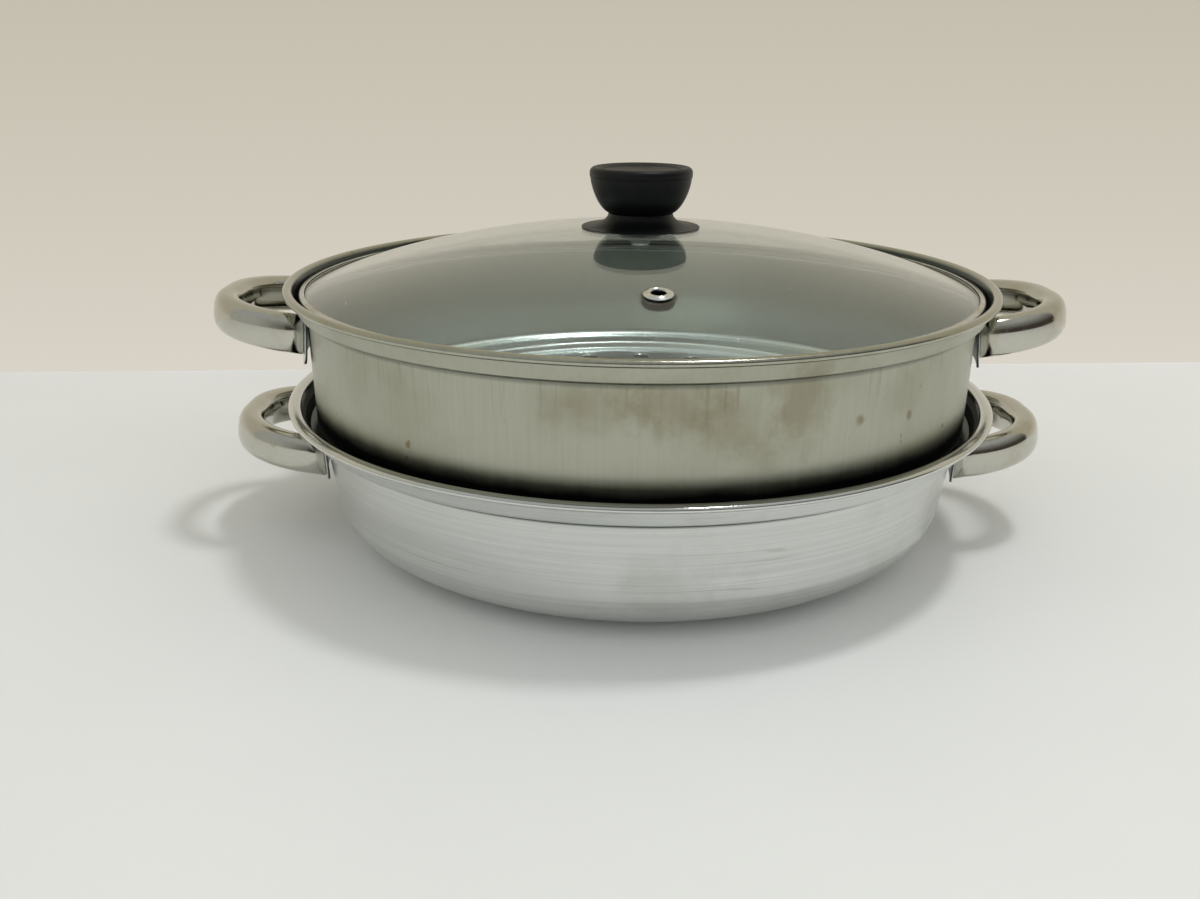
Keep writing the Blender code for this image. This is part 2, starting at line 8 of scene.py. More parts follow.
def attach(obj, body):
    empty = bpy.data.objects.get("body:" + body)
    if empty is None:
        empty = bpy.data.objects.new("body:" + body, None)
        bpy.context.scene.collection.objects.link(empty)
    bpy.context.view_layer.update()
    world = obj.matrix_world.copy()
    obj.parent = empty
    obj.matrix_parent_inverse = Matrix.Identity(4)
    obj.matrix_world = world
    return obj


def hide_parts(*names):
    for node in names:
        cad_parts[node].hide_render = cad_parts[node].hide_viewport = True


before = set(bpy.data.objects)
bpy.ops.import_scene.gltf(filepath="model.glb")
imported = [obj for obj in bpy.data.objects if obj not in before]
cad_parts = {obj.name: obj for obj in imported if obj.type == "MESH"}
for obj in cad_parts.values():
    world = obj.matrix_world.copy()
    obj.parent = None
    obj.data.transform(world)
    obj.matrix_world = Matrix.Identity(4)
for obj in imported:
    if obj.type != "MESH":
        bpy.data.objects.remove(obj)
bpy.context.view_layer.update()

# Camera, table and room. A pale table stands against a cream wall, under one soft lamp high overhead.
# The wall shows from its front only, so that it doesn't hide the pot from behind. The room is darker
# towards the horizon, but for its left side.
CAMERA_PLACE = (-0.01787, -0.51166, 0.20582)
CAMERA_YAW = math.radians(0.108)
CAMERA_PITCH = math.radians(18.80)
CAMERA_ROLL = math.radians(0.3294)
CAMERA_LENS = 35.217
ROOM_HALF_WIDTH = 3.0
WALL_PLACE = 0.2693
WALL_TURN = math.radians(3.05)
WALL_HEIGHT = 2.0
WALL_LOW = (0.695, 0.65, 0.575, 1.0)
WALL_HIGH = (0.540, 0.508, 0.408, 1.0)
WALL_FADE_HEIGHT = 0.26
TABLE_COLOUR = (0.765, 0.775, 0.765)
TABLE_MOTTLE = (0.97, 1.03)
ROOM_OVERHEAD = (0.44, 0.455, 0.45, 1.0)
ROOM_LEFT = (0.46, 0.46, 0.42, 1.0)
ROOM_FRONT = (0.060, 0.050, 0.038, 1.0)
ROOM_FILL = (0.93, 0.94, 0.93, 1.0)
ROOM_LIGHT = 1.0
LAMP_PLACE = Vector((0.45, 0.0, 2.2))
LAMP_AIM = Vector((0.0, 0.0, 0.05))
LAMP_SIZE = 0.30
LAMP_POWER = 13.0


def feed(tree, node, values):
    """Gives each named input of the node a plain value, or the socket that feeds it."""
    for name, value in values.items():
        if isinstance(value, bpy.types.NodeSocket):
            tree.links.new(value, node.inputs[name])
        else:
            node.inputs[name].default_value = value


def add_node(tree, kind, values=None, **settings):
    """Adds a shader node with these settings, and feeds it these values."""
    made = tree.nodes.new("ShaderNode" + kind)
    for name, value in settings.items():
        setattr(made, name, value)
    feed(tree, made, values or {})
    return made


def worked_out(tree, operation, *values, clamp=False):
    """The result of a piece of arithmetic on numbers or sockets."""
    return add_node(tree, "Math", dict(enumerate(values)), operation=operation, use_clamp=clamp).outputs[0]


def sum_of(tree, *sockets):
    """The sockets' sum, no higher than one."""
    total = sockets[0]
    for socket in sockets[1:]:
        total = worked_out(tree, "ADD", total, socket, clamp=True)
    return total


def faded(tree, value, start, end, low=0.0, high=1.0):
    """A mask that goes from low to high as the value goes from start to end."""
    ends = {"Value": value, "From Min": start, "From Max": end, "To Min": low, "To Max": high}
    return add_node(tree, "MapRange", ends).outputs[0]


def blended(tree, share, first, second):
    """The first colour, with a share of the second."""
    return add_node(tree, "Mix", {0: share, 6: first, 7: second}, data_type="RGBA").outputs[2]


def scaled(tree, vector, by):
    """The vector times a number, or times one number for each direction."""
    if isinstance(by, tuple):
        return add_node(tree, "VectorMath", {0: vector, 1: by}, operation="MULTIPLY").outputs[0]
    return add_node(tree, "VectorMath", {0: vector, "Scale": by}, operation="SCALE").outputs[0]


def clouds(tree, place, scale, detail, roughness=0.5):
    """A cloudy pattern."""
    look = {"Vector": place, "Scale": scale, "Detail": detail, "Roughness": roughness}
    return add_node(tree, "TexNoise", look).outputs["Fac"]


def height_of(tree, place):
    """How high the place is."""
    return add_node(tree, "SeparateXYZ", {0: place}).outputs["Z"]


def mixed_shader(tree, share, first, second):
    """The first node's shader, with a share of the second's."""
    return add_node(tree, "MixShader", {0: share, 1: first.outputs[0], 2: second.outputs[0]})


def new_material(name):
    """A material with its tree, its Principled shader and the socket of its places."""
    material = bpy.data.materials.new(name)
    material.use_nodes = True
    tree = material.node_tree
    return material, tree, tree.nodes["Principled BSDF"], add_node(tree, "TexCoord").outputs["Object"]


def staged(name, corners, material):
    """A flat surface of the room, through its corners."""
    shape = bmesh.new()
    shape.faces.new([shape.verts.new(corner) for corner in corners])
    mesh = bpy.data.meshes.new(name)
    shape.to_mesh(mesh)
    shape.free()
    mesh.materials.append(material)
    surface = bpy.data.objects.new(name, mesh)
    bpy.context.scene.collection.objects.link(surface)


camera_data = bpy.data.cameras.new("camera")
camera_data.sensor_width = 36.0
camera_data.lens = CAMERA_LENS
camera_data.clip_start = 0.01
camera = bpy.data.objects.new("camera", camera_data)
bpy.context.scene.collection.objects.link(camera)
camera.matrix_world = (
    Matrix.Translation(CAMERA_PLACE)
    @ Matrix.Rotation(-CAMERA_YAW, 4, "Z")
    @ Matrix.Rotation(math.pi / 2 - CAMERA_PITCH, 4, "X")
    @ Matrix.Rotation(CAMERA_ROLL, 4, "Z")
)
bpy.context.scene.camera = camera
bpy.context.scene.view_settings.view_transform = "Standard"

# the wall glows in its own colour for camera, mirrored and seen-through rays instead of being lit, and that
# colour is painted darker towards the top as painted shade; other rays find plain diffuse paint
wall_finish, tree, shader, place = new_material("painted_wall")
tree.nodes.remove(shader)
wall_colour = blended(tree, faded(tree, height_of(tree, place), 0.0, WALL_FADE_HEIGHT), WALL_LOW, WALL_HIGH)
path = add_node(tree, "LightPath").outputs
seen = sum_of(tree, path["Is Camera Ray"], path["Is Glossy Ray"], path["Is Transmission Ray"])
paint = add_node(tree, "BsdfDiffuse", {"Color": wall_colour})
glow = add_node(tree, "Emission", {"Color": wall_colour})
behind = add_node(tree, "NewGeometry").outputs["Backfacing"]
nothing = add_node(tree, "BsdfTransparent")
one_sided = mixed_shader(tree, behind, mixed_shader(tree, seen, paint, glow), nothing)
feed(tree, tree.nodes["Material Output"], {"Surface": one_sided.outputs[0]})
wall_ends = [(x, WALL_PLACE + x * math.tan(WALL_TURN)) for x in (-ROOM_HALF_WIDTH, ROOM_HALF_WIDTH)]
wall_corners = [(*wall_ends[0], 0.0), (*wall_ends[1], 0.0)]
wall_corners += [(*wall_ends[1], WALL_HEIGHT), (*wall_ends[0], WALL_HEIGHT)]
staged("wall", wall_corners, wall_finish)

table_finish, tree, shader, place = new_material("table_top")
mottle = faded(tree, clouds(tree, place, scale=9.0, detail=4.0), 0.0, 1.0, *TABLE_MOTTLE)
feed(tree, shader, {"Base Color": scaled(tree, TABLE_COLOUR, mottle), "Roughness": 0.55})
table_sides = ((-1, -1), (1, -1), (1, 1), (-1, 1))
table_corners = [(x * ROOM_HALF_WIDTH, y * ROOM_HALF_WIDTH, 0.0) for x, y in table_sides]
staged("table", table_corners, table_finish)

world = bpy.data.worlds.new("room")
bpy.context.scene.world = world
world.use_nodes = True
tree = world.node_tree
way = add_node(tree, "SeparateXYZ", {0: add_node(tree, "TexCoord").outputs["Generated"]}).outputs
around = blended(tree, faded(tree, way["X"], -0.75, -0.05, 1.0, 0.0), ROOM_FRONT, ROOM_LEFT)
room_colour = blended(tree, faded(tree, way["Z"], 0.15, 0.75), around, ROOM_OVERHEAD)
path = add_node(tree, "LightPath").outputs
mirrored = sum_of(tree, path["Is Glossy Ray"], path["Is Transmission Ray"])
room_given = blended(tree, mirrored, ROOM_FILL, room_colour)
room_seen = blended(tree, path["Is Camera Ray"], room_given, WALL_HIGH)
feed(tree, tree.nodes["Background"], {"Color": room_seen, "Strength": ROOM_LIGHT})

lamp_data = bpy.data.lights.new("soft_light", "AREA")
lamp_data.shape = "DISK"
lamp_data.size = LAMP_SIZE
lamp_data.energy = LAMP_POWER
lamp = bpy.data.objects.new("soft_light", lamp_data)
bpy.context.scene.collection.objects.link(lamp)
lamp_turn = (LAMP_AIM - LAMP_PLACE).to_track_quat("-Z", "Y").to_matrix().to_4x4()
lamp.matrix_world = Matrix.Translation(LAMP_PLACE) @ lamp_turn

# Pot: one disc of stainless sheet, drawn and spun to a round-cornered bowl, with a ledge and a short
# flared neck for the tier above. Its rim is rolled over, and its outside is satin from the spinning lathe.
SHEET = 0.0008
CLEARANCE = 0.0003
RIM_THICKNESS = 0.0030
ROUND_STEPS = 256
POT_RIM_MIDDLE = 0.0622
POT_RIM_INNER = 0.1479
POT_RIM_WIDTH = 0.0053
POT_RIM_HOLLOW = 0.30
POT_CREASE = (0.1451, 0.0535)
POT_WALL_TOP = (0.1395, 0.0524)
POT_WALL_LOW = (0.1346, 0.0218)
POT_BASE_RADIUS = 0.1000
POT_CORNER_EXPONENT = 1.8
POT_NECK_SLOPE = 0.322
POT_GAP_SHADE_HEIGHTS = (0.0500, 0.0510, 0.0610, 0.0622)
POT_RUBBED_HEIGHTS = (0.0606, 0.0611)
POT_STEEL = (0.67, 0.685, 0.66, 1.0)
POT_STEEL_WORN = (0.56, 0.56, 0.53, 1.0)
INNER_STEEL = (0.52, 0.565, 0.545, 1.0)
# painted highlight: near-white steel for the steamer's floor, standing in for the light it shows
PAINTED_FLOOR_HIGHLIGHT = (0.90, 0.95, 0.955, 1.0)
# near black, for painted shade in gaps, recesses and under folds
PAINTED_SHADE_COLOUR = (0.055, 0.068, 0.063, 1.0)
RUBBED_GLOSS = 0.19
STAIN_DULLNESS = 0.12
GRAIN_DULLNESS = 0.08
GRAIN_DEPTH = 0.0002
# the masks a group of marks gives: painted shade, rubbed gloss, stains, the inside and a painted highlight on
# the floor
WEAR_AND_LIGHT_OUTPUTS = ("Painted_shade", "Rubbed", "Stain", "Inside", "Painted_floor_highlight")


def rounded(points, steps=6):
    """The line through (radius, height, rounding) points, with an arc at each corner."""
    line = []
    for i, (radius, height, rounding) in enumerate(points):
        here = Vector((radius, height))
        if rounding == 0.0 or i in (0, len(points) - 1):
            line.append(tuple(here))
            continue
        back = (Vector(points[i - 1][:2]) - here).normalized()
        on = (Vector(points[i + 1][:2]) - here).normalized()
        half = back.angle(on) / 2
        middle = here + (back + on).normalized() * rounding / math.sin(half)
        start = here + back * rounding / math.tan(half) - middle
        end = here + on * rounding / math.tan(half) - middle
        turn = start.angle_signed(end)
        for step in range(steps + 1):
            line.append(tuple(middle + Matrix.Rotation(-turn * step / steps, 2) @ start))
    return line


def quarter(start, end, steps, exponent=2.0):
    """A quarter of an oval that leaves the start upright and comes to the end level, or a fuller one."""
    line = []
    for i in range(steps + 1):
        angle = math.pi / 2 * i / steps
        out = max(math.cos(angle), 0.0) ** (2 / exponent)
        down = math.sin(angle) ** (2 / exponent)
        line.append((end[0] + (start[0] - end[0]) * out, start[1] - (start[1] - end[1]) * down))
    return line


def beside(line, distance):
    """The line moved sideways to its right by the distance, with mitred corners."""
    moved = []
    for i, point in enumerate(line):
        here = Vector(point)
        arriving = here - Vector(line[i - 1]) if i > 0 else Vector(line[1]) - here
        leaving = Vector(line[i + 1]) - here if i < len(line) - 1 else arriving
        first = Vector((arriving.y, -arriving.x)).normalized()
        second = Vector((leaving.y, -leaving.x)).normalized()
        bisector = (first + second).normalized()
        moved.append(tuple(here + bisector * (distance / bisector.dot(first))))
    return moved


def rolled_bead(inner_radius, middle, width, steps=24):
    """The rim's bead, from its inner side over the top to where the neck's outer face begins."""
    end = -math.pi + math.acos(1 - 2 * SHEET / width)
    bead = []
    for i in range(steps + 1):
        angle = math.pi + (end - math.pi) * i / steps
        radius = inner_radius + width / 2 * (1 + math.cos(angle))
        bead.append((radius, middle + RIM_THICKNESS / 2 * math.sin(angle)))
    return bead


def run_into_neck(bead, outside, share, kept=19, steps=8):
    """The bead, its outer side run in a hollow curve into the neck's upper share, and the rest below it."""
    start = Vector(bead[kept - 1])
    corner = Vector(outside[0])
    end = corner.lerp(Vector(outside[1]), share)
    hollow = []
    for i in range(1, steps + 1):
        along = i / steps
        hollow.append(tuple(start.lerp(corner, along).lerp(corner.lerp(end, along), along)))
    return bead[:kept] + hollow + outside[1:]


def spun(outline, steps=ROUND_STEPS):
    """The outline turned about the pot's axis, as a closed shape."""
    shape = bmesh.new()
    corners = [shape.verts.new((radius, 0.0, height)) for radius, height in outline]
    edges = [shape.edges.new(pair) for pair in zip(corners, corners[1:])]
    if outline[0][0] > 0.0 or outline[-1][0] > 0.0:
        edges.append(shape.edges.new((corners[-1], corners[0])))
    turned = {"cent": (0.0, 0.0, 0.0), "axis": (0.0, 0.0, 1.0), "angle": math.tau, "steps": steps}
    bmesh.ops.spin(shape, geom=corners + edges, use_merge=True, **turned)
    bmesh.ops.remove_doubles(shape, verts=shape.verts, dist=0.000002)
    bmesh.ops.recalc_face_normals(shape, faces=shape.faces)
    return shape


def finished_piece(name, shape, material, body, node, sharp=math.radians(35)):
    """Makes the shape a piece that rides on its body and stands for its node."""
    mesh = bpy.data.meshes.new(name)
    shape.to_mesh(mesh)
    shape.free()
    mesh.materials.append(material)
    mesh.shade_smooth()
    mesh.set_sharp_from_angle(angle=sharp)
    piece = bpy.data.objects.new(name, mesh)
    bpy.context.scene.collection.objects.link(piece)
    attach(piece, body)
    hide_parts(node)
    return piece


def new_group(name, inputs, outputs):
    """A group of nodes that reads a place and these numbers, with its input sockets and its output node."""
    tree = bpy.data.node_groups.new(name, "ShaderNodeTree")
    tree.interface.new_socket("Place", in_out="INPUT", socket_type="NodeSocketVector")
    for way, names in (("INPUT", inputs), ("OUTPUT", outputs)):
        for socket_name in names:
            tree.interface.new_socket(socket_name, in_out=way, socket_type="NodeSocketFloat")
    return tree, tree.nodes.new("NodeGroupInput").outputs, tree.nodes.new("NodeGroupOutput")


def add_group(tree, name, values):
    """Places the named group in the tree, under its own name."""
    made = add_node(tree, "Group", values, node_tree=bpy.data.node_groups[name])
    made.name = name
    return made.outputs


def length_of(tree, vector):
    """The vector's length."""
    return add_node(tree, "VectorMath", {0: vector}, operation="LENGTH").outputs["Value"]


def radius_of(tree, place):
    """How far the place is from the upright axis."""
    return length_of(tree, scaled(tree, place, (1, 1, 0)))


def both(tree, first, second):
    """A mask of what lies in both masks."""
    return worked_out(tree, "MULTIPLY", first, second)


def between(tree, value, start, full, fading, end):
    """A mask that rises from start to full, and falls again from fading to end."""
    return both(tree, faded(tree, value, start, full), faded(tree, value, fading, end, 1.0, 0.0))


def within(tree, radius, height, point, slope):
    """A mask of what lies inside the middle of the sheet, whose outer face runs through the point."""
    upright = worked_out(tree, "MULTIPLY_ADD", height, -slope, radius)
    return worked_out(tree, "LESS_THAN", upright, point[0] - slope * point[1] - SHEET / 2)


def drifting(tree, place, flat, drift):
    """The flat place, moved by a small part of the real one, so that no line runs quite true."""
    return add_node(tree, "VectorMath", {0: flat, 1: scaled(tree, place, drift)}, operation="ADD").outputs[0]


# fine lines that run round the pot, as a spinning lathe and a polishing cloth leave them
tree, given, result = new_group("spun_lines", ["Fineness"], ["Lines"])
section = {"X": radius_of(tree, given["Place"]), "Y": height_of(tree, given["Place"])}
place = drifting(tree, given["Place"], add_node(tree, "CombineXYZ", section).outputs[0], 0.012)
feed(tree, result, {"Lines": clouds(tree, place, given["Fineness"], detail=4.0, roughness=0.65)})

# lines that run upright, as a brushing belt leaves them
tree, given, result = new_group("upright_brushing", ["Fineness"], ["Lines"])
place = scaled(tree, given["Place"], (1.0, 1.0, 0.02))
feed(tree, result, {"Lines": clouds(tree, place, given["Fineness"], detail=3.0, roughness=0.6)})

# blotches that water and hands leave: a mask of soft patches, and one of small spots
tree, given, result = new_group("water_marks", ["Size"], ["Patches", "Spots"])
patches = faded(tree, clouds(tree, given["Place"], given["Size"], detail=5.0, roughness=0.62), 0.52, 0.68)
spots = faded(tree, clouds(tree, given["Place"], scale=190.0, detail=2.0), 0.73, 0.78)
feed(tree, result, {"Patches": patches, "Spots": spots})


def steel(
    name,
    bright,
    stained,
    grain,
    fineness,
    roughness,
    relief,
    mark_size=24.0,
    blotches=0.6,
    flecks=0.5,
    contrast=0.09,
    wear_and_light=None,
):
    """Steel with a grain of lines, water marks that tint and dull it, and the masks of the group so named:
    painted shade, rubbed gloss, stains, the inside and a painted highlight on the floor.
    """
    material, tree, shader, place = new_material(name)
    lines = add_group(tree, grain, {"Place": place, "Fineness": fineness})["Lines"]
    marks = add_group(tree, "water_marks", {"Place": place, "Size": mark_size})
    if wear_and_light:
        wear_and_light_masks = add_group(tree, wear_and_light, {"Place": place})
        lines = both(tree, lines, worked_out(tree, "SUBTRACT", 1.0, wear_and_light_masks["Inside"]))
    streaked = faded(tree, lines, 0.3, 0.7)
    patches = worked_out(tree, "MULTIPLY", marks["Patches"], blotches)
    spotted = worked_out(tree, "MULTIPLY_ADD", marks["Spots"], flecks, patches, clamp=True)
    if wear_and_light:
        spotted = sum_of(tree, spotted, wear_and_light_masks["Stain"])
    colour = blended(tree, spotted, bright, stained)
    if wear_and_light:
        colour = blended(tree, wear_and_light_masks["Inside"], colour, INNER_STEEL)
        # painted highlight: the steamer's floor gets a near-white steel colour for the light it shows
        colour = blended(tree, wear_and_light_masks["Painted_floor_highlight"], colour, PAINTED_FLOOR_HIGHLIGHT)
    colour = scaled(tree, colour, faded(tree, streaked, 0.0, 1.0, 1.0 - contrast, 1.0 + contrast))
    finish = faded(tree, spotted, 0.0, 1.0, roughness, roughness + STAIN_DULLNESS)
    finish = worked_out(tree, "MULTIPLY_ADD", streaked, GRAIN_DULLNESS, finish)
    if wear_and_light:
        # painted shade: the colour goes near black in the gaps, recesses and folds that the group's shade
        # mask marks
        colour = blended(tree, wear_and_light_masks["Painted_shade"], colour, PAINTED_SHADE_COLOUR)
        finish = worked_out(tree, "MULTIPLY_ADD", wear_and_light_masks["Rubbed"], -RUBBED_GLOSS, finish)
    bump = add_node(tree, "Bump", {"Strength": relief, "Distance": GRAIN_DEPTH, "Height": lines})
    feed(
        tree, shader, {"Base Color": colour, "Roughness": finish, "Metallic": 1.0, "Normal": bump.outputs[0]}
    )
    return material


# painted shade on the ledge and up the inner side of the neck, where the tier above stands, a rim that is
# rubbed, and broken scratches that run round the wall
tree, given, result = new_group("pot_seam", [], WEAR_AND_LIGHT_OUTPUTS)
height = height_of(tree, given["Place"])
neck_inside = within(tree, radius_of(tree, given["Place"]), height, POT_CREASE, POT_NECK_SLOPE)
level = add_node(tree, "CombineXYZ", {"Z": height}).outputs[0]
rings = clouds(tree, drifting(tree, given["Place"], level, 0.03), scale=75.0, detail=3.0)
broken = faded(tree, clouds(tree, given["Place"], scale=22.0, detail=4.0), 0.50, 0.60, 0.0, 0.8)
seam = {
    "Painted_shade": both(tree, between(tree, height, *POT_GAP_SHADE_HEIGHTS), neck_inside),
    "Rubbed": faded(tree, height, *POT_RUBBED_HEIGHTS),
    "Stain": both(tree, worked_out(tree, "COMPARE", rings, 0.5, 0.005), broken),
}
feed(tree, result, seam)

pot_steel = steel(
    "spun_pot_steel",
    POT_STEEL,
    POT_STEEL_WORN,
    "spun_lines",
    900.0,
    roughness=0.27,
    relief=0.06,
    wear_and_light="pot_seam",
)
pot_bead = rolled_bead(POT_RIM_INNER, POT_RIM_MIDDLE, POT_RIM_WIDTH)
pot_line = [(*pot_bead[-1], 0.0), (*POT_CREASE, 0.0014), (*POT_WALL_TOP, 0.0012), (*POT_WALL_LOW, 0.0)]
pot_neck = rounded(pot_line)
pot_corner = quarter(POT_WALL_LOW, (POT_BASE_RADIUS, 0.0), 24, POT_CORNER_EXPONENT)
pot_outside = pot_neck[:-1] + pot_corner + [(0.0, 0.0)]
pot_inside = beside(pot_outside, SHEET)
pot_shape = spun(run_into_neck(pot_bead, pot_outside, POT_RIM_HOLLOW) + pot_inside[::-1][:-1])
finished_piece("pot_bowl", pot_shape, pot_steel, "pot", "pot_shell")

# Handles: each is a loop of oval steel tube, bent to a D and polished, on a curved plate that is
# spot-welded to the wall. The pot and the tier above each have a pair.
TUBE_WIDTH = 0.0114
TUBE_HEIGHT = 0.0162
TUBE_WALL = 0.0010
TUBE_SQUARENESS = 2.6
TUBE_STEPS = 48
BEND_STEPS = 24
ARM_HALF_SPACING = 0.0374
ARM_LENGTH = 0.02
GRIP_STRAIGHT = 0.0096
HANDLE_BEND = ARM_HALF_SPACING - GRIP_STRAIGHT / 2
HANDLE_RISE = math.radians(8.0)
PLATE_THICKNESS = 0.0010
PLATE_OVERHANG = 0.0042
PLATE_DROP = 0.0037
PLATE_CORNER = 0.0060
PLATE_STANDOFF = 0.0020
PLATE_SOFT_EDGE = 0.0002
PLATE_SHADE_DEPTH = 0.75
HANDLE_STEEL = (0.56, 0.55, 0.49, 1.0)
HANDLE_STEEL_STAINED = (0.46, 0.41, 0.30, 1.0)

handle_steel = steel(
    "polished_handle_steel",
    HANDLE_STEEL,
    HANDLE_STEEL_STAINED,
    "spun_lines",
    500.0,
    roughness=0.06,
    relief=0.02,
    mark_size=40.0,
    contrast=0.03,
)

# painted shade behind a plate, over its back and the inner part of its edge
tree, given, result = new_group("plate_back", ["Lean", "Depth"], WEAR_AND_LIGHT_OUTPUTS)
leaning = worked_out(tree, "MULTIPLY", height_of(tree, given["Place"]), given["Lean"])
upright = worked_out(tree, "SUBTRACT", radius_of(tree, given["Place"]), leaning)
feed(tree, result, {"Painted_shade": worked_out(tree, "LESS_THAN", upright, given["Depth"])})


def combined(shape, other, operation):
    """The first shape cut by the second, or what they share."""
    pieces = []
    for part in (shape, other):
        mesh = bpy.data.meshes.new("working")
        part.to_mesh(mesh)
        part.free()
        piece = bpy.data.objects.new("working", mesh)
        bpy.context.scene.collection.objects.link(piece)
        pieces.append(piece)
    step = pieces[0].modifiers.new("cut", "BOOLEAN")
    step.operation = operation
    step.solver = "EXACT"
    step.object = pieces[1]
    cut = pieces[0].evaluated_get(bpy.context.evaluated_depsgraph_get())
    made = bmesh.new()
    made.from_mesh(cut.to_mesh())
    cut.to_mesh_clear()
    for piece in pieces:
        mesh = piece.data
        bpy.data.objects.remove(piece)
        bpy.data.meshes.remove(mesh)
    return made


def tube_loop(grip, wall_radius_at, placing):
    """The handle's tube with its ends on the plate, before its wall is given thickness."""
    shape = bmesh.new()
    near = GRIP_STRAIGHT / 2
    bend_start = grip - HANDLE_BEND
    start = bend_start - ARM_LENGTH
    section = (
        Matrix.Translation((start, -ARM_HALF_SPACING, 0.0))
        @ Matrix.Rotation(math.pi / 2, 4, "Y")
        @ Matrix.Diagonal((TUBE_HEIGHT / 2, TUBE_WIDTH / 2, 1.0, 1.0))
    )
    bmesh.ops.create_circle(shape, segments=TUBE_STEPS, radius=1.0)
    for corner in shape.verts:
        for axis in (0, 1):
            corner.co[axis] = math.copysign(abs(corner.co[axis]) ** (2 / TUBE_SQUARENESS), corner.co[axis])
    bmesh.ops.transform(shape, matrix=section, verts=shape.verts)
    first_end = shape.verts[:]
    ring = shape.edges[:]

    def pushed(ring, way):
        """The ring extruded along the way."""
        made = bmesh.ops.extrude_edge_only(shape, edges=ring)["geom"]
        moved = [item for item in made if isinstance(item, bmesh.types.BMVert)]
        bmesh.ops.translate(shape, verts=moved, vec=way)
        edges = [item for item in made if isinstance(item, bmesh.types.BMEdge)]
        return [edge for edge in edges if set(edge.verts) <= set(moved)]

    def bent(ring, centre):
        """The ring turned a quarter round the bend's centre."""
        turned = {"cent": centre, "axis": (0.0, 0.0, 1.0), "angle": math.pi / 2, "steps": BEND_STEPS}
        made = bmesh.ops.spin(shape, geom=ring, **turned)["geom_last"]
        return [item for item in made if isinstance(item, bmesh.types.BMEdge)]

    ring = pushed(ring, (bend_start - start, 0.0, 0.0))
    ring = bent(ring, (bend_start, -near, 0.0))
    ring = pushed(ring, (0.0, 2 * near, 0.0))
    ring = bent(ring, (bend_start, near, 0.0))
    ring = pushed(ring, (start - bend_start, 0.0, 0.0))
    last_end = list({corner for edge in ring for corner in edge.verts})
    bmesh.ops.recalc_face_normals(shape, faces=shape.faces)
    bmesh.ops.transform(shape, matrix=placing, verts=shape.verts)
    along_arm = Vector((math.cos(HANDLE_RISE), 0.0, math.sin(HANDLE_RISE)))
    for corner in first_end + last_end:
        for _ in range(8):
            short = wall_radius_at(corner.co.z) - math.hypot(corner.co.x, corner.co.y)
            corner.co += along_arm * short
    return shape


def add_handles(tier, wall_top_point, wall_slope, reach, drop):
    """Two handles with their plates, for one tier."""
    wall_radius, wall_top = wall_top_point
    plate_top = wall_top - CLEARANCE
    tube_middle = plate_top - drop - TUBE_HEIGHT / 2
    plate_low = plate_top - TUBE_HEIGHT - PLATE_DROP
    plate_height = plate_top - plate_low
    inner_top = wall_radius - wall_slope * CLEARANCE + CLEARANCE
    inner_low = inner_top - wall_slope * plate_height + PLATE_STANDOFF
    lean = (inner_top - inner_low) / plate_height
    plate_outline = [
        (inner_top, plate_top),
        (inner_top + PLATE_THICKNESS, plate_top),
        (inner_low + PLATE_THICKNESS, plate_low),
        (inner_low, plate_low),
    ]
    plate_steel = steel(
        f"{tier}_plate_steel",
        POT_STEEL,
        POT_STEEL_WORN,
        "upright_brushing",
        900.0,
        roughness=0.28,
        relief=0.1,
        wear_and_light="plate_back",
    )
    shade_depth = inner_top + PLATE_SHADE_DEPTH * PLATE_THICKNESS - lean * plate_top
    back = plate_steel.node_tree.nodes["plate_back"]
    feed(plate_steel.node_tree, back, {"Lean": lean, "Depth": shade_depth})

    def face_radius(height):
        return inner_top + PLATE_THICKNESS + CLEARANCE + lean * (height - plate_top)

    half_width = ARM_HALF_SPACING + TUBE_WIDTH / 2 + PLATE_OVERHANG
    placing = (
        Matrix.Translation((wall_radius, 0.0, tube_middle))
        @ Matrix.Rotation(-HANDLE_RISE, 4, "Y")
        @ Matrix.Translation((-wall_radius, 0.0, 0.0))
    )
    for side, turn in (("left", math.pi), ("right", 0.0)):
        about = Matrix.Rotation(turn, 4, "Z")
        tube = tube_loop(wall_radius + reach, face_radius, placing)
        bmesh.ops.transform(tube, matrix=about, verts=tube.verts)
        handle = finished_piece(
            f"{tier}_grip_{side}", tube, handle_steel, tier, f"{tier}_handle_{side}", math.radians(60)
        )
        wall = handle.modifiers.new("tube_wall", "SOLIDIFY")
        wall.thickness = TUBE_WALL
        wall.offset = -1.0

        block = bmesh.new()
        size = Vector((wall_radius, 2 * half_width, plate_height))
        bmesh.ops.create_cube(block, size=1.0, matrix=Matrix.Diagonal((*size, 1.0)))
        along = [edge for edge in block.edges if abs((edge.verts[0].co - edge.verts[1].co).x) > size.x / 2]
        bmesh.ops.bevel(
            block,
            geom=along,
            offset=PLATE_CORNER,
            offset_type="OFFSET",
            segments=8,
            profile=0.5,
            affect="EDGES",
            material=-1,
        )
        middle = Matrix.Translation((wall_radius, 0.0, (plate_low + plate_top) / 2))
        bmesh.ops.transform(block, matrix=about @ middle, verts=block.verts)
        plate = combined(spun(plate_outline), block, "INTERSECT")
        plate_piece = finished_piece(
            f"{tier}_handle_mount_{side}", plate, plate_steel, tier, f"{tier}_handle_plate_{side}"
        )
        soft = plate_piece.modifiers.new("soft_edges", "BEVEL")
        soft.width = PLATE_SOFT_EDGE
        soft.segments = 2
        soft.limit_method = "ANGLE"
        soft.angle_limit = math.radians(40)


add_handles("pot", POT_WALL_TOP, wall_slope=0.16, reach=0.0342, drop=0.0025)

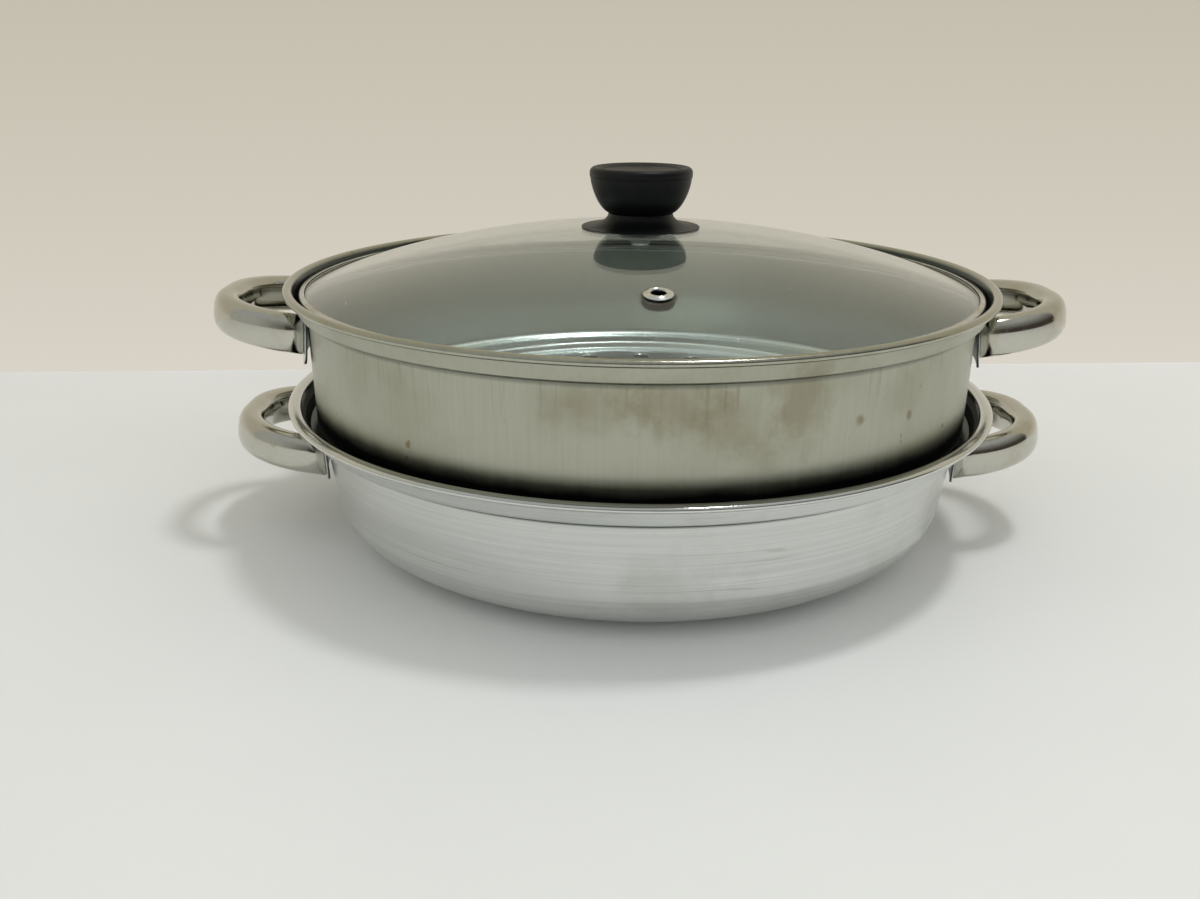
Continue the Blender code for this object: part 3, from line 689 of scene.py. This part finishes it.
# Steamer tier: a second drawn shell that nests in the pot's neck, with a sunk floor punched with steam
# holes. Its wall is brushed upright and dulled by use.
STEAMER_RIM_MIDDLE = 0.11149
STEAMER_RIM_INNER = 0.14790
STEAMER_RIM_WIDTH = 0.0040
STEAMER_RIM_HOLLOW = 0.15
STEAMER_CREASE = (0.14640, 0.10369)
STEAMER_WALL_TOP = (0.14280, 0.10269)
STEAMER_WALL_LOW = (0.14140, 0.05719)
STEAMER_CORNER_RADIUS = 0.0040
STEAMER_BASE = 0.05319
FLOOR_RADIUS = 0.1210
FLOOR_LOW = 0.04989
FLOOR_STEP_SLOPE = 0.0008
HOLE_DIAMETER = 0.0080
HOLE_RING_PITCH = 0.0251
HOLE_RINGS = 4
HOLE_SPACING = 0.0273
HOLE_TURN = math.radians(87.1)
HOLE_EDGE = 0.0002
PUNCH_FLARE = 0.0030
STEAMER_STEEL = (0.440, 0.442, 0.365, 1.0)
STEAMER_STEEL_STAINED = (0.28, 0.25, 0.165, 1.0)
SEAT_SHADE_HEIGHTS = (0.1028, 0.1032, 0.1112, 0.1126)
FOOT_SHADE_HEIGHTS = (0.0550, 0.0610, 0.0636, 0.0661)
FOOT_SHADE_WAVE = 0.003
FOLD_SHADE_HEIGHTS = (0.1006, 0.1020, 0.1029, 0.1031)
FOLD_SHADE_STRENGTH = 0.55
STREAK_HEIGHTS = (0.0850, 0.0990, 0.1020, 0.1025)
STREAK_STRENGTH = 0.30
STEAMER_RUBBED_HEIGHTS = (0.1099, 0.1104)
INNER_SHINE = 0.5
BRIGHT_FLOOR_HEIGHTS = (STEAMER_BASE + 0.0010, STEAMER_BASE + 0.0030)
STAIN_RAGGEDNESS = 1.6
STAIN_EDGE = (1.25, 2.05)
# each stain's middle, its reach across and up, and its strength
STEAMER_STAINS = (
    ((0.0511, -0.1325, 0.0945), (0.0120, 0.0175), 0.60),
    ((0.0277, -0.1393, 0.0883), (0.0140, 0.0125), 0.28),
    ((0.0074, -0.1418, 0.0955), (0.0190, 0.0100), 0.42),
    ((-0.0173, -0.1409, 0.0951), (0.0180, 0.0105), 0.36),
    ((-0.0322, -0.1383, 0.0942), (0.0110, 0.0120), 0.22),
    ((0.0375, -0.1369, 0.0769), (0.0095, 0.0075), 0.26),
    ((0.0020, -0.1420, 0.0862), (0.0026, 0.0050), 0.30),
    ((0.0915, -0.1086, 0.0920), (0.0100, 0.0100), 0.24),
    ((-0.0899, -0.1099, 0.0947), (0.0075, 0.0060), 0.16),
    ((0.0733, -0.1216, 0.0846), (0.0020, 0.0022), 0.80),
    ((0.0942, -0.1063, 0.0815), (0.0016, 0.0020), 0.80),
)

# painted shade at the foot of the wall, under the neck's fold, in the holes and in a black ring round the
# lid's seat, with stains and streaks outside, and a smooth inside with a painted highlight on its floor
tree, given, result = new_group("tier_seam", [], WEAR_AND_LIGHT_OUTPUTS)
place = given["Place"]
height = height_of(tree, place)
radius = radius_of(tree, place)
wall_slope = (STEAMER_WALL_TOP[0] - STEAMER_WALL_LOW[0]) / (STEAMER_WALL_TOP[1] - STEAMER_WALL_LOW[1])
wall_inside = within(tree, radius, height, STEAMER_WALL_LOW, wall_slope)
outside = worked_out(tree, "SUBTRACT", 1.0, wall_inside)
neck_reach = STEAMER_RIM_INNER + SHEET - STEAMER_CREASE[0]
neck_height = STEAMER_RIM_MIDDLE - RIM_THICKNESS / 2 - STEAMER_CREASE[1]
neck_inside = within(tree, radius, height, STEAMER_CREASE, neck_reach / neck_height)
below_neck = faded(tree, height, STEAMER_WALL_TOP[1], STEAMER_WALL_TOP[1] + 0.0003, 1.0, 0.0)
in_plateau = worked_out(tree, "LESS_THAN", radius, FLOOR_RADIUS + 0.0004)
floor_levelled = worked_out(tree, "MULTIPLY_ADD", in_plateau, STEAMER_BASE - FLOOR_LOW, height)
upper_side = worked_out(tree, "GREATER_THAN", floor_levelled, STEAMER_BASE + SHEET / 2)
inside = both(tree, both(tree, wall_inside, below_neck), upper_side)
# where the steamer floor's painted highlight lies
near_floor = faded(tree, height, *BRIGHT_FLOOR_HEIGHTS, 1.0, 0.0)

seat_shade = both(tree, neck_inside, between(tree, height, *SEAT_SHADE_HEIGHTS))
foot_cloud = clouds(tree, place, scale=60.0, detail=3.0)
foot_height = worked_out(tree, "MULTIPLY_ADD", foot_cloud, FOOT_SHADE_WAVE, height)
foot_shade = between(tree, foot_height, *FOOT_SHADE_HEIGHTS)
fold_shade = worked_out(tree, "MULTIPLY", between(tree, height, *FOLD_SHADE_HEIGHTS), FOLD_SHADE_STRENGTH)
outer_shade = both(tree, sum_of(tree, foot_shade, fold_shade), outside)
hole_top = FLOOR_LOW + SHEET
hole_wall = between(tree, height, FLOOR_LOW, FLOOR_LOW + 0.0001, hole_top - 0.0001, hole_top - 0.00005)
hole_shade = both(tree, hole_wall, in_plateau)

ragged_edge = clouds(tree, place, scale=120.0, detail=4.0, roughness=0.6)
stains = []
for middle, (across, up), strength in STEAMER_STAINS:
    offset = add_node(tree, "VectorMath", {0: place, 1: middle}, operation="SUBTRACT").outputs[0]
    away = length_of(tree, scaled(tree, offset, (1 / across, 1 / across, 1 / up)))
    away = worked_out(tree, "MULTIPLY_ADD", ragged_edge, STAIN_RAGGEDNESS, away)
    stains.append(faded(tree, away, *STAIN_EDGE, strength, 0.0))
streaks = clouds(tree, scaled(tree, place, (1.0, 1.0, 0.06)), scale=520.0, detail=2.0)
streaks = faded(tree, streaks, 0.60, 0.70, 0.0, STREAK_STRENGTH)
streaks = both(tree, streaks, between(tree, height, *STREAK_HEIGHTS))
rim_rubbed = faded(tree, height, *STEAMER_RUBBED_HEIGHTS)
seam = {
    "Painted_shade": sum_of(tree, outer_shade, seat_shade, hole_shade),
    "Rubbed": sum_of(tree, rim_rubbed, worked_out(tree, "MULTIPLY", inside, INNER_SHINE)),
    "Stain": both(tree, sum_of(tree, *stains, streaks), outside),
    "Inside": inside,
    "Painted_floor_highlight": both(tree, inside, near_floor),
}
feed(tree, result, seam)

steamer_steel = steel(
    "brushed_steamer_steel",
    STEAMER_STEEL,
    STEAMER_STEEL_STAINED,
    "upright_brushing",
    600.0,
    roughness=0.30,
    relief=0.04,
    mark_size=17.0,
    blotches=0.22,
    flecks=0.9,
    contrast=0.045,
    wear_and_light="tier_seam",
)
steamer_steel.node_tree.nodes["Principled BSDF"].inputs["Anisotropic"].default_value = 0.7
steamer_bead = rolled_bead(STEAMER_RIM_INNER, STEAMER_RIM_MIDDLE, STEAMER_RIM_WIDTH)
steamer_line = [
    (*steamer_bead[-1], 0.0),
    (*STEAMER_CREASE, 0.0012),
    (*STEAMER_WALL_TOP, 0.0010),
    (STEAMER_WALL_LOW[0], STEAMER_BASE, STEAMER_CORNER_RADIUS),
    (FLOOR_RADIUS + FLOOR_STEP_SLOPE, STEAMER_BASE, 0.0009),
    (FLOOR_RADIUS, FLOOR_LOW, 0.0012),
    (0.0, FLOOR_LOW, 0.0),
]
steamer_outside = rounded(steamer_line, 8)
steamer_inside = beside(steamer_outside, SHEET)
steamer_outline = run_into_neck(steamer_bead, steamer_outside, STEAMER_RIM_HOLLOW) + steamer_inside[::-1][:-1]
hole_places = [Vector((0.0, 0.0, 0.0))]
for ring in range(1, HOLE_RINGS + 1):
    ring_radius = ring * HOLE_RING_PITCH
    in_ring = round(math.tau * ring_radius / HOLE_SPACING)
    for i in range(in_ring):
        angle = HOLE_TURN + math.tau * i / in_ring
        hole_places.append(ring_radius * Vector((math.cos(angle), math.sin(angle), 0.0)))

# one punch, which flares towards its top to leave a soft edge round the hole
hole_radius = HOLE_DIAMETER / 2
punch_outline = [
    (0.0, FLOOR_LOW + 4 * SHEET),
    (hole_radius + PUNCH_FLARE, FLOOR_LOW + 4 * SHEET),
    (hole_radius, hole_top - HOLE_EDGE),
    (hole_radius, FLOOR_LOW - SHEET),
    (0.0, FLOOR_LOW - SHEET),
]
one_punch = spun(punch_outline, 28)
punch_mesh = bpy.data.meshes.new("punch")
one_punch.to_mesh(punch_mesh)
one_punch.free()
punches = bmesh.new()
for hole_place in hole_places:
    before = set(punches.verts)
    punches.from_mesh(punch_mesh)
    bmesh.ops.translate(punches, verts=[v for v in punches.verts if v not in before], vec=hole_place)
bpy.data.meshes.remove(punch_mesh)
steamer_shape = combined(spun(steamer_outline), punches, "DIFFERENCE")
finished_piece("steamer_bowl", steamer_shape, steamer_steel, "steamer", "steamer_shell")
add_handles("steamer", STEAMER_WALL_TOP, wall_slope=0.03077, reach=0.0364, drop=0.0)

# Lid glass: one pane of toughened glass, slumped to a shallow dome. Its edge is ground round, and it is
# drilled for the knob's screw and for the vent.
DOME_RADIUS = 0.4360
DOME_MIDDLE = -0.3018
DOME_STEPS = 48
GLASS_THICKNESS = 0.0040
GLASS_RADIUS = 0.14453
GLASS_EDGE = 0.0012
GLASS_EDGE_WIDTH = 0.0018
GLASS_BORE = 0.0040
GLASS_INDEX = 1.5
GLASS_COLOUR = (0.92, 0.965, 0.94, 1.0)
GLASS_SHADOW = (0.90, 0.93, 0.91, 1.0)
GLASS_SHADED = (0.010, 0.012, 0.012, 1.0)
EDGE_SHADED = (0.1426, 0.1431)
VENT_RADIUS = GLASS_RADIUS - 0.0468
VENT_AZIMUTH = math.radians(-88.0)
VENT_BORE = 0.0049
VENT_SHADE_OFFSET = 0.0012
VENT_SHADED = (0.0060, 0.0072)
vent_placing = (
    Matrix.Translation((0.0, 0.0, DOME_MIDDLE))
    @ Matrix.Rotation(VENT_AZIMUTH, 4, "Z")
    @ Matrix.Rotation(math.asin(VENT_RADIUS / DOME_RADIUS), 4, "Y")
    @ Matrix.Translation((0.0, 0.0, DOME_RADIUS))
)


def on_glass(radius, depth=0.0):
    """The height of the glass's upper face, or of the sphere at some depth under it."""
    return DOME_MIDDLE + math.sqrt((DOME_RADIUS - depth) ** 2 - radius**2)


def at_vent(shape):
    """Moves a shape from the pot's axis to the vent."""
    bmesh.ops.transform(shape, matrix=vent_placing, verts=shape.verts)
    return shape


def from_vent(tree, place, offset=0.0):
    """How far the place is from the vent's axis, or from a line that lies a little towards the rim."""
    back = vent_placing.inverted()
    shift = back.translation - Vector((offset, 0.0, 0.0))
    turned = {"Vector": place, "Location": shift, "Rotation": back.to_euler("XYZ")}
    return radius_of(tree, add_node(tree, "Mapping", turned, vector_type="POINT").outputs[0])


# painted shade darkens the glass at its edge and where the vent's parts are seen through it, and water marks
# dull it
glass_finish, tree, shader, place = new_material("toughened_glass")
marks = add_group(tree, "water_marks", {"Place": place, "Size": 30.0})
edge_shade = faded(tree, radius_of(tree, place), *EDGE_SHADED)
vent_shade = faded(tree, from_vent(tree, place, VENT_SHADE_OFFSET), *VENT_SHADED, 1.0, 0.0)
glass_look = {
    "Transmission Weight": 1.0,
    "IOR": GLASS_INDEX,
    "Roughness": faded(tree, marks["Patches"], 0.0, 1.0, 0.0, 0.03),
    "Base Color": blended(tree, sum_of(tree, edge_shade, vent_shade), GLASS_COLOUR, GLASS_SHADED),
}
feed(tree, shader, glass_look)
clear = add_node(tree, "BsdfTransparent", {"Color": GLASS_SHADOW})
shadow_ray = add_node(tree, "LightPath").outputs["Is Shadow Ray"]
lit_through = mixed_shader(tree, shadow_ray, shader, clear)
feed(tree, tree.nodes["Material Output"], {"Surface": lit_through.outputs[0]})

face_width = GLASS_RADIUS - GLASS_EDGE_WIDTH - GLASS_BORE
glass_face = [GLASS_BORE + face_width * i / DOME_STEPS for i in range(DOME_STEPS + 1)]
glass_upper = [(radius, on_glass(radius)) for radius in glass_face]
glass_lower = [(radius, on_glass(radius, GLASS_THICKNESS)) for radius in reversed(glass_face)]
glass_edge = [
    (*glass_upper[-1], 0.0),
    (GLASS_RADIUS, on_glass(GLASS_RADIUS), GLASS_EDGE),
    (GLASS_RADIUS, on_glass(GLASS_RADIUS, GLASS_THICKNESS), GLASS_EDGE),
    (*glass_lower[0], 0.0),
]
glass_shape = spun(glass_upper[:-1] + rounded(glass_edge) + glass_lower[1:])
drill_high = GLASS_THICKNESS
drill_low = -2 * GLASS_THICKNESS
drill_outline = [(0.0, drill_high), (VENT_BORE, drill_high), (VENT_BORE, drill_low), (0.0, drill_low)]
vent_drill = at_vent(spun(drill_outline, 40))
glass_shape = combined(glass_shape, vent_drill, "DIFFERENCE")
finished_piece("lid_pane", glass_shape, glass_finish, "lid", "lid_glass")

# Lid band: a thin strip of steel rolled round the glass's edge and pressed over it above and below, with
# a soft grey seal in its lower lip.
BAND_SHEET = 0.0005
BAND_OUTER = 0.14553
BAND_BEND = 0.0008
BAND_ROUNDING = 0.0010
LIP_INNER = 0.14243
LEDGE_PLACE = (0.14593, 0.10338)
LEDGE_SLOPE = 0.278
SEAL_OUTER = 0.14383
SEAL_SEAM = (0.1431, 0.1430)
SEAL_THICKNESS = 0.0004
SEAL_ROUNDING = 0.00015
BAND_STEEL = (0.66, 0.655, 0.63, 1.0)
SILICONE_DARK = (0.11, 0.11, 0.105, 1.0)
SILICONE_PALE = (0.20, 0.20, 0.19, 1.0)


def dusted(name, dark, pale, fineness, roughness):
    """A soft material between two tones, as if finely dusted."""
    material, tree, shader, place = new_material(name)
    tone = blended(tree, clouds(tree, place, fineness, detail=3.0), dark, pale)
    feed(tree, shader, {"Base Color": tone, "Roughness": roughness})
    return material


def above_ledge(radius, lift):
    """The place at this radius, lifted off the steamer's ledge, which the band rests on."""
    return radius, LEDGE_PLACE[1] + LEDGE_SLOPE * (radius - LEDGE_PLACE[0]) + lift


band_steel = steel(
    "polished_band_steel",
    BAND_STEEL,
    HANDLE_STEEL_STAINED,
    "spun_lines",
    800.0,
    roughness=0.16,
    relief=0.06,
    mark_size=40.0,
)
lip_lift = CLEARANCE + BAND_SHEET
lip_end = LIP_INNER + BAND_BEND
band_points = [
    (lip_end, on_glass(lip_end) + lip_lift, 0.0),
    (BAND_OUTER, on_glass(BAND_OUTER) + lip_lift + 0.0002, BAND_ROUNDING),
    (*above_ledge(BAND_OUTER, CLEARANCE), BAND_ROUNDING),
    (*above_ledge(LIP_INNER, CLEARANCE), 0.0),
]
band_line = rounded(band_points, 8)
band_shape = spun(band_line + beside(band_line, BAND_SHEET)[::-1])
finished_piece("lid_rim_band", band_shape, band_steel, "lid", "lid_band")

silicone = dusted("grey_silicone", SILICONE_DARK, SILICONE_PALE, 400.0, 0.6)
seal_low = lip_lift + CLEARANCE
seal_high = seal_low + SEAL_THICKNESS
seal_points = [
    (*above_ledge(SEAL_SEAM[0], seal_high), 0.0),
    (*above_ledge(SEAL_OUTER, seal_high), SEAL_ROUNDING),
    (*above_ledge(SEAL_OUTER, seal_low), SEAL_ROUNDING),
    (*above_ledge(LIP_INNER, seal_low), SEAL_ROUNDING),
    (*above_ledge(LIP_INNER, seal_high), SEAL_ROUNDING),
    (*above_ledge(SEAL_SEAM[1], seal_high), 0.0),
]
finished_piece("lid_rim_seal", spun(rounded(seal_points, 3)), silicone, "lid", "lid_edge_seal")

# Vent: a bright steel eyelet with a low cone for a flange, clinched under the glass over a backing ring.
# A grommet of black silicone rubber keeps it off the glass.
VENT_STEPS = 48
VENT_TUBE = 0.0031
VENT_FLANGE = 0.0053
VENT_CONE_HEIGHT = 0.0013
VENT_CLINCH = 0.0046
VENT_SHEET = 0.0005
GROMMET_INNER = 0.0034
GROMMET_NECK = 0.0046
GROMMET_OUTER = 0.0055
GROMMET_TOP = -GLASS_THICKNESS - 2 * CLEARANCE
GROMMET_LOW = GROMMET_TOP - 0.0005
RING_OUTER = 0.0058
RING_HIGH = GROMMET_LOW - CLEARANCE
RING_LOW = RING_HIGH - 0.0008
RING_EDGE = 0.0002
RING_SEAM = (0.0045, 0.0044)
WELL_SHADE = (0.00265, 0.0029)
VENT_BRIGHT = (0.78, 0.78, 0.75, 1.0)
# near black, as painted shade on the backing ring under the eyelet
RING_SHADE_COLOUR = (0.10, 0.10, 0.095, 1.0)
RING_SHADE_STAINED_COLOUR = (0.07, 0.065, 0.06, 1.0)
RUBBER_DARK = (0.012, 0.012, 0.012, 1.0)
RUBBER_PALE = (0.03, 0.03, 0.028, 1.0)

# painted shade in the eyelet's bore
tree, given, result = new_group("vent_well", [], WEAR_AND_LIGHT_OUTPUTS)
feed(tree, result, {"Painted_shade": faded(tree, from_vent(tree, given["Place"]), *WELL_SHADE, 1.0, 0.0)})

vent_steel = steel(
    "bright_vent_steel",
    VENT_BRIGHT,
    HANDLE_STEEL_STAINED,
    "spun_lines",
    1500.0,
    roughness=0.14,
    relief=0.1,
    mark_size=60.0,
    wear_and_light="vent_well",
)
eyelet_points = [
    (VENT_FLANGE, 0.0001, 0.0),
    (VENT_TUBE, CLEARANCE + VENT_CONE_HEIGHT, 0.0007),
    (VENT_TUBE, RING_LOW - CLEARANCE, 0.0005),
    (VENT_CLINCH, RING_LOW - CLEARANCE, 0.0),
]
eyelet_line = rounded(eyelet_points)
eyelet_shape = at_vent(spun(beside(eyelet_line, VENT_SHEET)[::-1] + eyelet_line, VENT_STEPS))
finished_piece("vent_cone", eyelet_shape, vent_steel, "lid", "vent_eyelet")

black_rubber = dusted("black_rubber", RUBBER_DARK, RUBBER_PALE, 600.0, 0.7)
grommet_outline = [
    (GROMMET_INNER, 0.0),
    (GROMMET_NECK, 0.0),
    (GROMMET_NECK, GROMMET_TOP),
    (GROMMET_OUTER, GROMMET_TOP),
    (GROMMET_OUTER, GROMMET_LOW),
    (GROMMET_INNER, GROMMET_LOW),
]
grommet_shape = at_vent(spun(grommet_outline, VENT_STEPS))
finished_piece("vent_bush", grommet_shape, black_rubber, "lid", "vent_grommet")


def washer_outline(inner, outer, low, high, edge, seam=None):
    """A washer's section with softly rounded corners, which starts and ends on its upper face."""
    middle = (inner + outer) / 2
    start, end = seam or (middle + edge, middle - edge)
    corners = [(outer, high, edge), (outer, low, edge), (inner, low, edge), (inner, high, edge)]
    return rounded([(start, high, 0.0), *corners, (end, high, 0.0)], 3)


# the backing ring is painted near black, as painted shade under the eyelet
ring_shade_steel = steel(
    "shade_painted_ring_steel",
    RING_SHADE_COLOUR,
    RING_SHADE_STAINED_COLOUR,
    "spun_lines",
    1500.0,
    roughness=0.45,
    relief=0.1,
    mark_size=60.0,
)
ring_outline = washer_outline(GROMMET_INNER, RING_OUTER, RING_LOW, RING_HIGH, RING_EDGE, RING_SEAM)
ring_shape = at_vent(spun(ring_outline, VENT_STEPS))
finished_piece("vent_washer", ring_shape, ring_shade_steel, "lid", "vent_backing_ring")

# Knob: a moulded cup-shaped grip of black plastic on a flared skirt, with a dished disc in its top. One
# screw from under the glass goes into a brass insert and draws it all down on a soft pad.
KNOB_STEPS = 96
SKIRT_RADIUS = 0.0254
SKIRT_EDGE = 0.0004
SKIRT_RIM = 0.0012
SKIRT_EDGE_LOW = on_glass(SKIRT_RADIUS) + 0.0001
SKIRT_TOP = on_glass(0.0) + 0.0054
NECK_RADIUS = 0.0139
BODY_LOW = SKIRT_TOP + CLEARANCE
BODY_TOP = BODY_LOW + 0.0190
KNOB_RADIUS = 0.0220
KNOB_LIP_RADIUS = 0.0022
KNOB_BAND = 0.0019
KNOB_GROOVE = 0.0003
KNOB_EXPONENT = 1.55
CAP_RADIUS = 0.0165
CAP_THICKNESS = 0.0012
CAP_DISH = 0.0008
CAP_TOP = BODY_TOP - 0.0012
POCKET_RADIUS = 0.0045
POCKET_TOP = BODY_LOW + 0.0098
SHANK_BORE = 0.0028
PAD_RADIUS = 0.0125
PAD_LOW = on_glass(0.0) + CLEARANCE
RECESS_TOP = PAD_LOW + 0.0013
EDGE_BREAK = 0.0001
PLASTIC_BLACK = (0.0016, 0.0020, 0.0024, 1.0)
PLASTIC_WORN = (0.005, 0.006, 0.006, 1.0)

plastic, tree, shader, place = new_material("moulded_black_plastic")
patches = add_group(tree, "water_marks", {"Place": place, "Size": 60.0})["Patches"]
pebbles = {"Strength": 0.15, "Distance": 0.0001, "Height": clouds(tree, place, scale=1600.0, detail=2.0)}
plastic_look = {
    "Base Color": blended(tree, patches, PLASTIC_BLACK, PLASTIC_WORN),
    "Roughness": faded(tree, patches, 0.0, 1.0, 0.42, 0.55),
    "Specular IOR Level": 0.28,
    "Normal": add_node(tree, "Bump", pebbles).outputs[0],
}
feed(tree, shader, plastic_look)

recess = PAD_RADIUS + CLEARANCE
skirt_foot = SKIRT_RADIUS - SKIRT_RIM
skirt_line = [(SHANK_BORE, SKIRT_TOP)]
skirt_line += quarter((NECK_RADIUS, SKIRT_TOP), (SKIRT_RADIUS, SKIRT_EDGE_LOW + SKIRT_EDGE), 18)
skirt_line += [
    (SKIRT_RADIUS + EDGE_BREAK, SKIRT_EDGE_LOW + 2 * EDGE_BREAK),
    (SKIRT_RADIUS - EDGE_BREAK, SKIRT_EDGE_LOW),
]
for i in range(9):
    radius = skirt_foot + (recess - skirt_foot) * i / 8
    skirt_line.append((radius, on_glass(radius) + CLEARANCE))
skirt_line += [(recess, RECESS_TOP), (SHANK_BORE, RECESS_TOP)]
finished_piece("knob_foot", spun(skirt_line, KNOB_STEPS), plastic, "lid", "knob_skirt")

dish_floor = CAP_TOP - CAP_THICKNESS - CLEARANCE
dish_radius = CAP_RADIUS + CLEARANCE
waist = BODY_TOP - KNOB_LIP_RADIUS
band_low = waist - KNOB_BAND
bowl_radius = KNOB_RADIUS - KNOB_GROOVE
body_line = [(0.0, dish_floor), (dish_radius, dish_floor), (dish_radius, CAP_TOP)]
body_line += quarter((KNOB_RADIUS, waist), (KNOB_RADIUS - KNOB_LIP_RADIUS, BODY_TOP), 12)[::-1]
body_line += [
    (KNOB_RADIUS, band_low + 2 * EDGE_BREAK),
    (KNOB_RADIUS - EDGE_BREAK, band_low),
    (bowl_radius, band_low - EDGE_BREAK),
]
body_line += quarter((bowl_radius, band_low), (NECK_RADIUS, BODY_LOW), 32, KNOB_EXPONENT)[2:]
body_line += [(POCKET_RADIUS, BODY_LOW), (POCKET_RADIUS, POCKET_TOP), (0.0, POCKET_TOP)]
finished_piece("knob_grip", spun(body_line, KNOB_STEPS), plastic, "lid", "knob_body")

cap_low = dish_floor + CLEARANCE
cap_line = [(CAP_RADIUS * i / 16, CAP_TOP - CAP_DISH * (1 - (i / 16) ** 2)) for i in range(16)]
cap_line += [(CAP_RADIUS - EDGE_BREAK, CAP_TOP - EDGE_BREAK / 5), (CAP_RADIUS, CAP_TOP - EDGE_BREAK)]
cap_line += [(CAP_RADIUS, cap_low), (0.0, cap_low)]
finished_piece("knob_disc", spun(cap_line, KNOB_STEPS), plastic, "lid", "knob_cap")

# the insert, pad, washers and screw that hold the knob on the glass
FASTENER_STEPS = 64
INSERT_RADIUS = 0.0042
INSERT_LENGTH = 0.0095
PAD_THICKNESS = 0.0010
SOFT_WASHER_RADIUS = 0.0110
SOFT_WASHER_THICKNESS = 0.0015
STEEL_WASHER_RADIUS = 0.0090
STEEL_WASHER_THICKNESS = 0.0010
SCREW_RADIUS = 0.0025
SCREW_HEAD_RADIUS = 0.0045
SCREW_HEAD_HEIGHT = 0.0028
SCREW_TIP = BODY_LOW + 0.0080
SLOT_SIZE = (0.0046, 0.0009, 0.0024)
BRASS_DARK = (0.58, 0.42, 0.20, 1.0)
BRASS_BRIGHT = (0.80, 0.62, 0.32, 1.0)
SCREW_STEEL = (0.72, 0.71, 0.69, 1.0)

brass, tree, shader, place = new_material("brass_insert")
knurl = add_group(tree, "upright_brushing", {"Place": place, "Fineness": 900.0})["Lines"]
brass_tone = blended(tree, knurl, BRASS_DARK, BRASS_BRIGHT)
feed(tree, shader, {"Base Color": brass_tone, "Metallic": 1.0, "Roughness": 0.3})
screw_steel = steel(
    "screw_steel",
    SCREW_STEEL,
    HANDLE_STEEL_STAINED,
    "spun_lines",
    1200.0,
    roughness=0.2,
    relief=0.1,
    mark_size=80.0,
)
soft_high = on_glass(SOFT_WASHER_RADIUS, GLASS_THICKNESS) - CLEARANCE
soft_low = soft_high - SOFT_WASHER_THICKNESS
washer_high = soft_low - CLEARANCE
washer_low = washer_high - STEEL_WASHER_THICKNESS
head_high = washer_low - CLEARANCE
head_low = head_high - SCREW_HEAD_HEIGHT

# each one's name and node, outer radius, lower and upper face, the rounding of its edges, and its finish
stack = (
    ("knob_thread", "knob_insert", INSERT_RADIUS, BODY_LOW, BODY_LOW + INSERT_LENGTH, 0.0002, brass),
    ("knob_pad", "knob_seal_pad", PAD_RADIUS, PAD_LOW, PAD_LOW + PAD_THICKNESS, 0.0003, silicone),
    ("knob_soft_washer", "knob_seal_washer", SOFT_WASHER_RADIUS, soft_low, soft_high, 0.0004, silicone),
    ("knob_steel_washer", "knob_washer", STEEL_WASHER_RADIUS, washer_low, washer_high, 0.0002, screw_steel),
)
for name, node, outer, low, high, edge, finish in stack:
    outline = washer_outline(SHANK_BORE, outer, low, high, edge)
    finished_piece(name, spun(outline, FASTENER_STEPS), finish, "lid", node)

screw_points = [
    (0.0, SCREW_TIP, 0.0),
    (SCREW_RADIUS, SCREW_TIP, 0.0004),
    (SCREW_RADIUS, head_high, 0.0),
    (SCREW_HEAD_RADIUS, head_high, 0.0003),
    (SCREW_HEAD_RADIUS, head_low, 0.0013),
    (0.0, head_low, 0.0),
]
screw_shape = spun(rounded(screw_points, 8), FASTENER_STEPS)
for turn in (0.0, math.pi / 2):
    slot = bmesh.new()
    across_head = Matrix.Translation((0.0, 0.0, head_low)) @ Matrix.Rotation(turn, 4, "Z")
    bmesh.ops.create_cube(slot, size=1.0, matrix=across_head @ Matrix.Diagonal((*SLOT_SIZE, 1.0)))
    screw_shape = combined(screw_shape, slot, "DIFFERENCE")
finished_piece("knob_fixing_screw", screw_shape, screw_steel, "lid", "knob_screw")

bpy.context.view_layer.update()
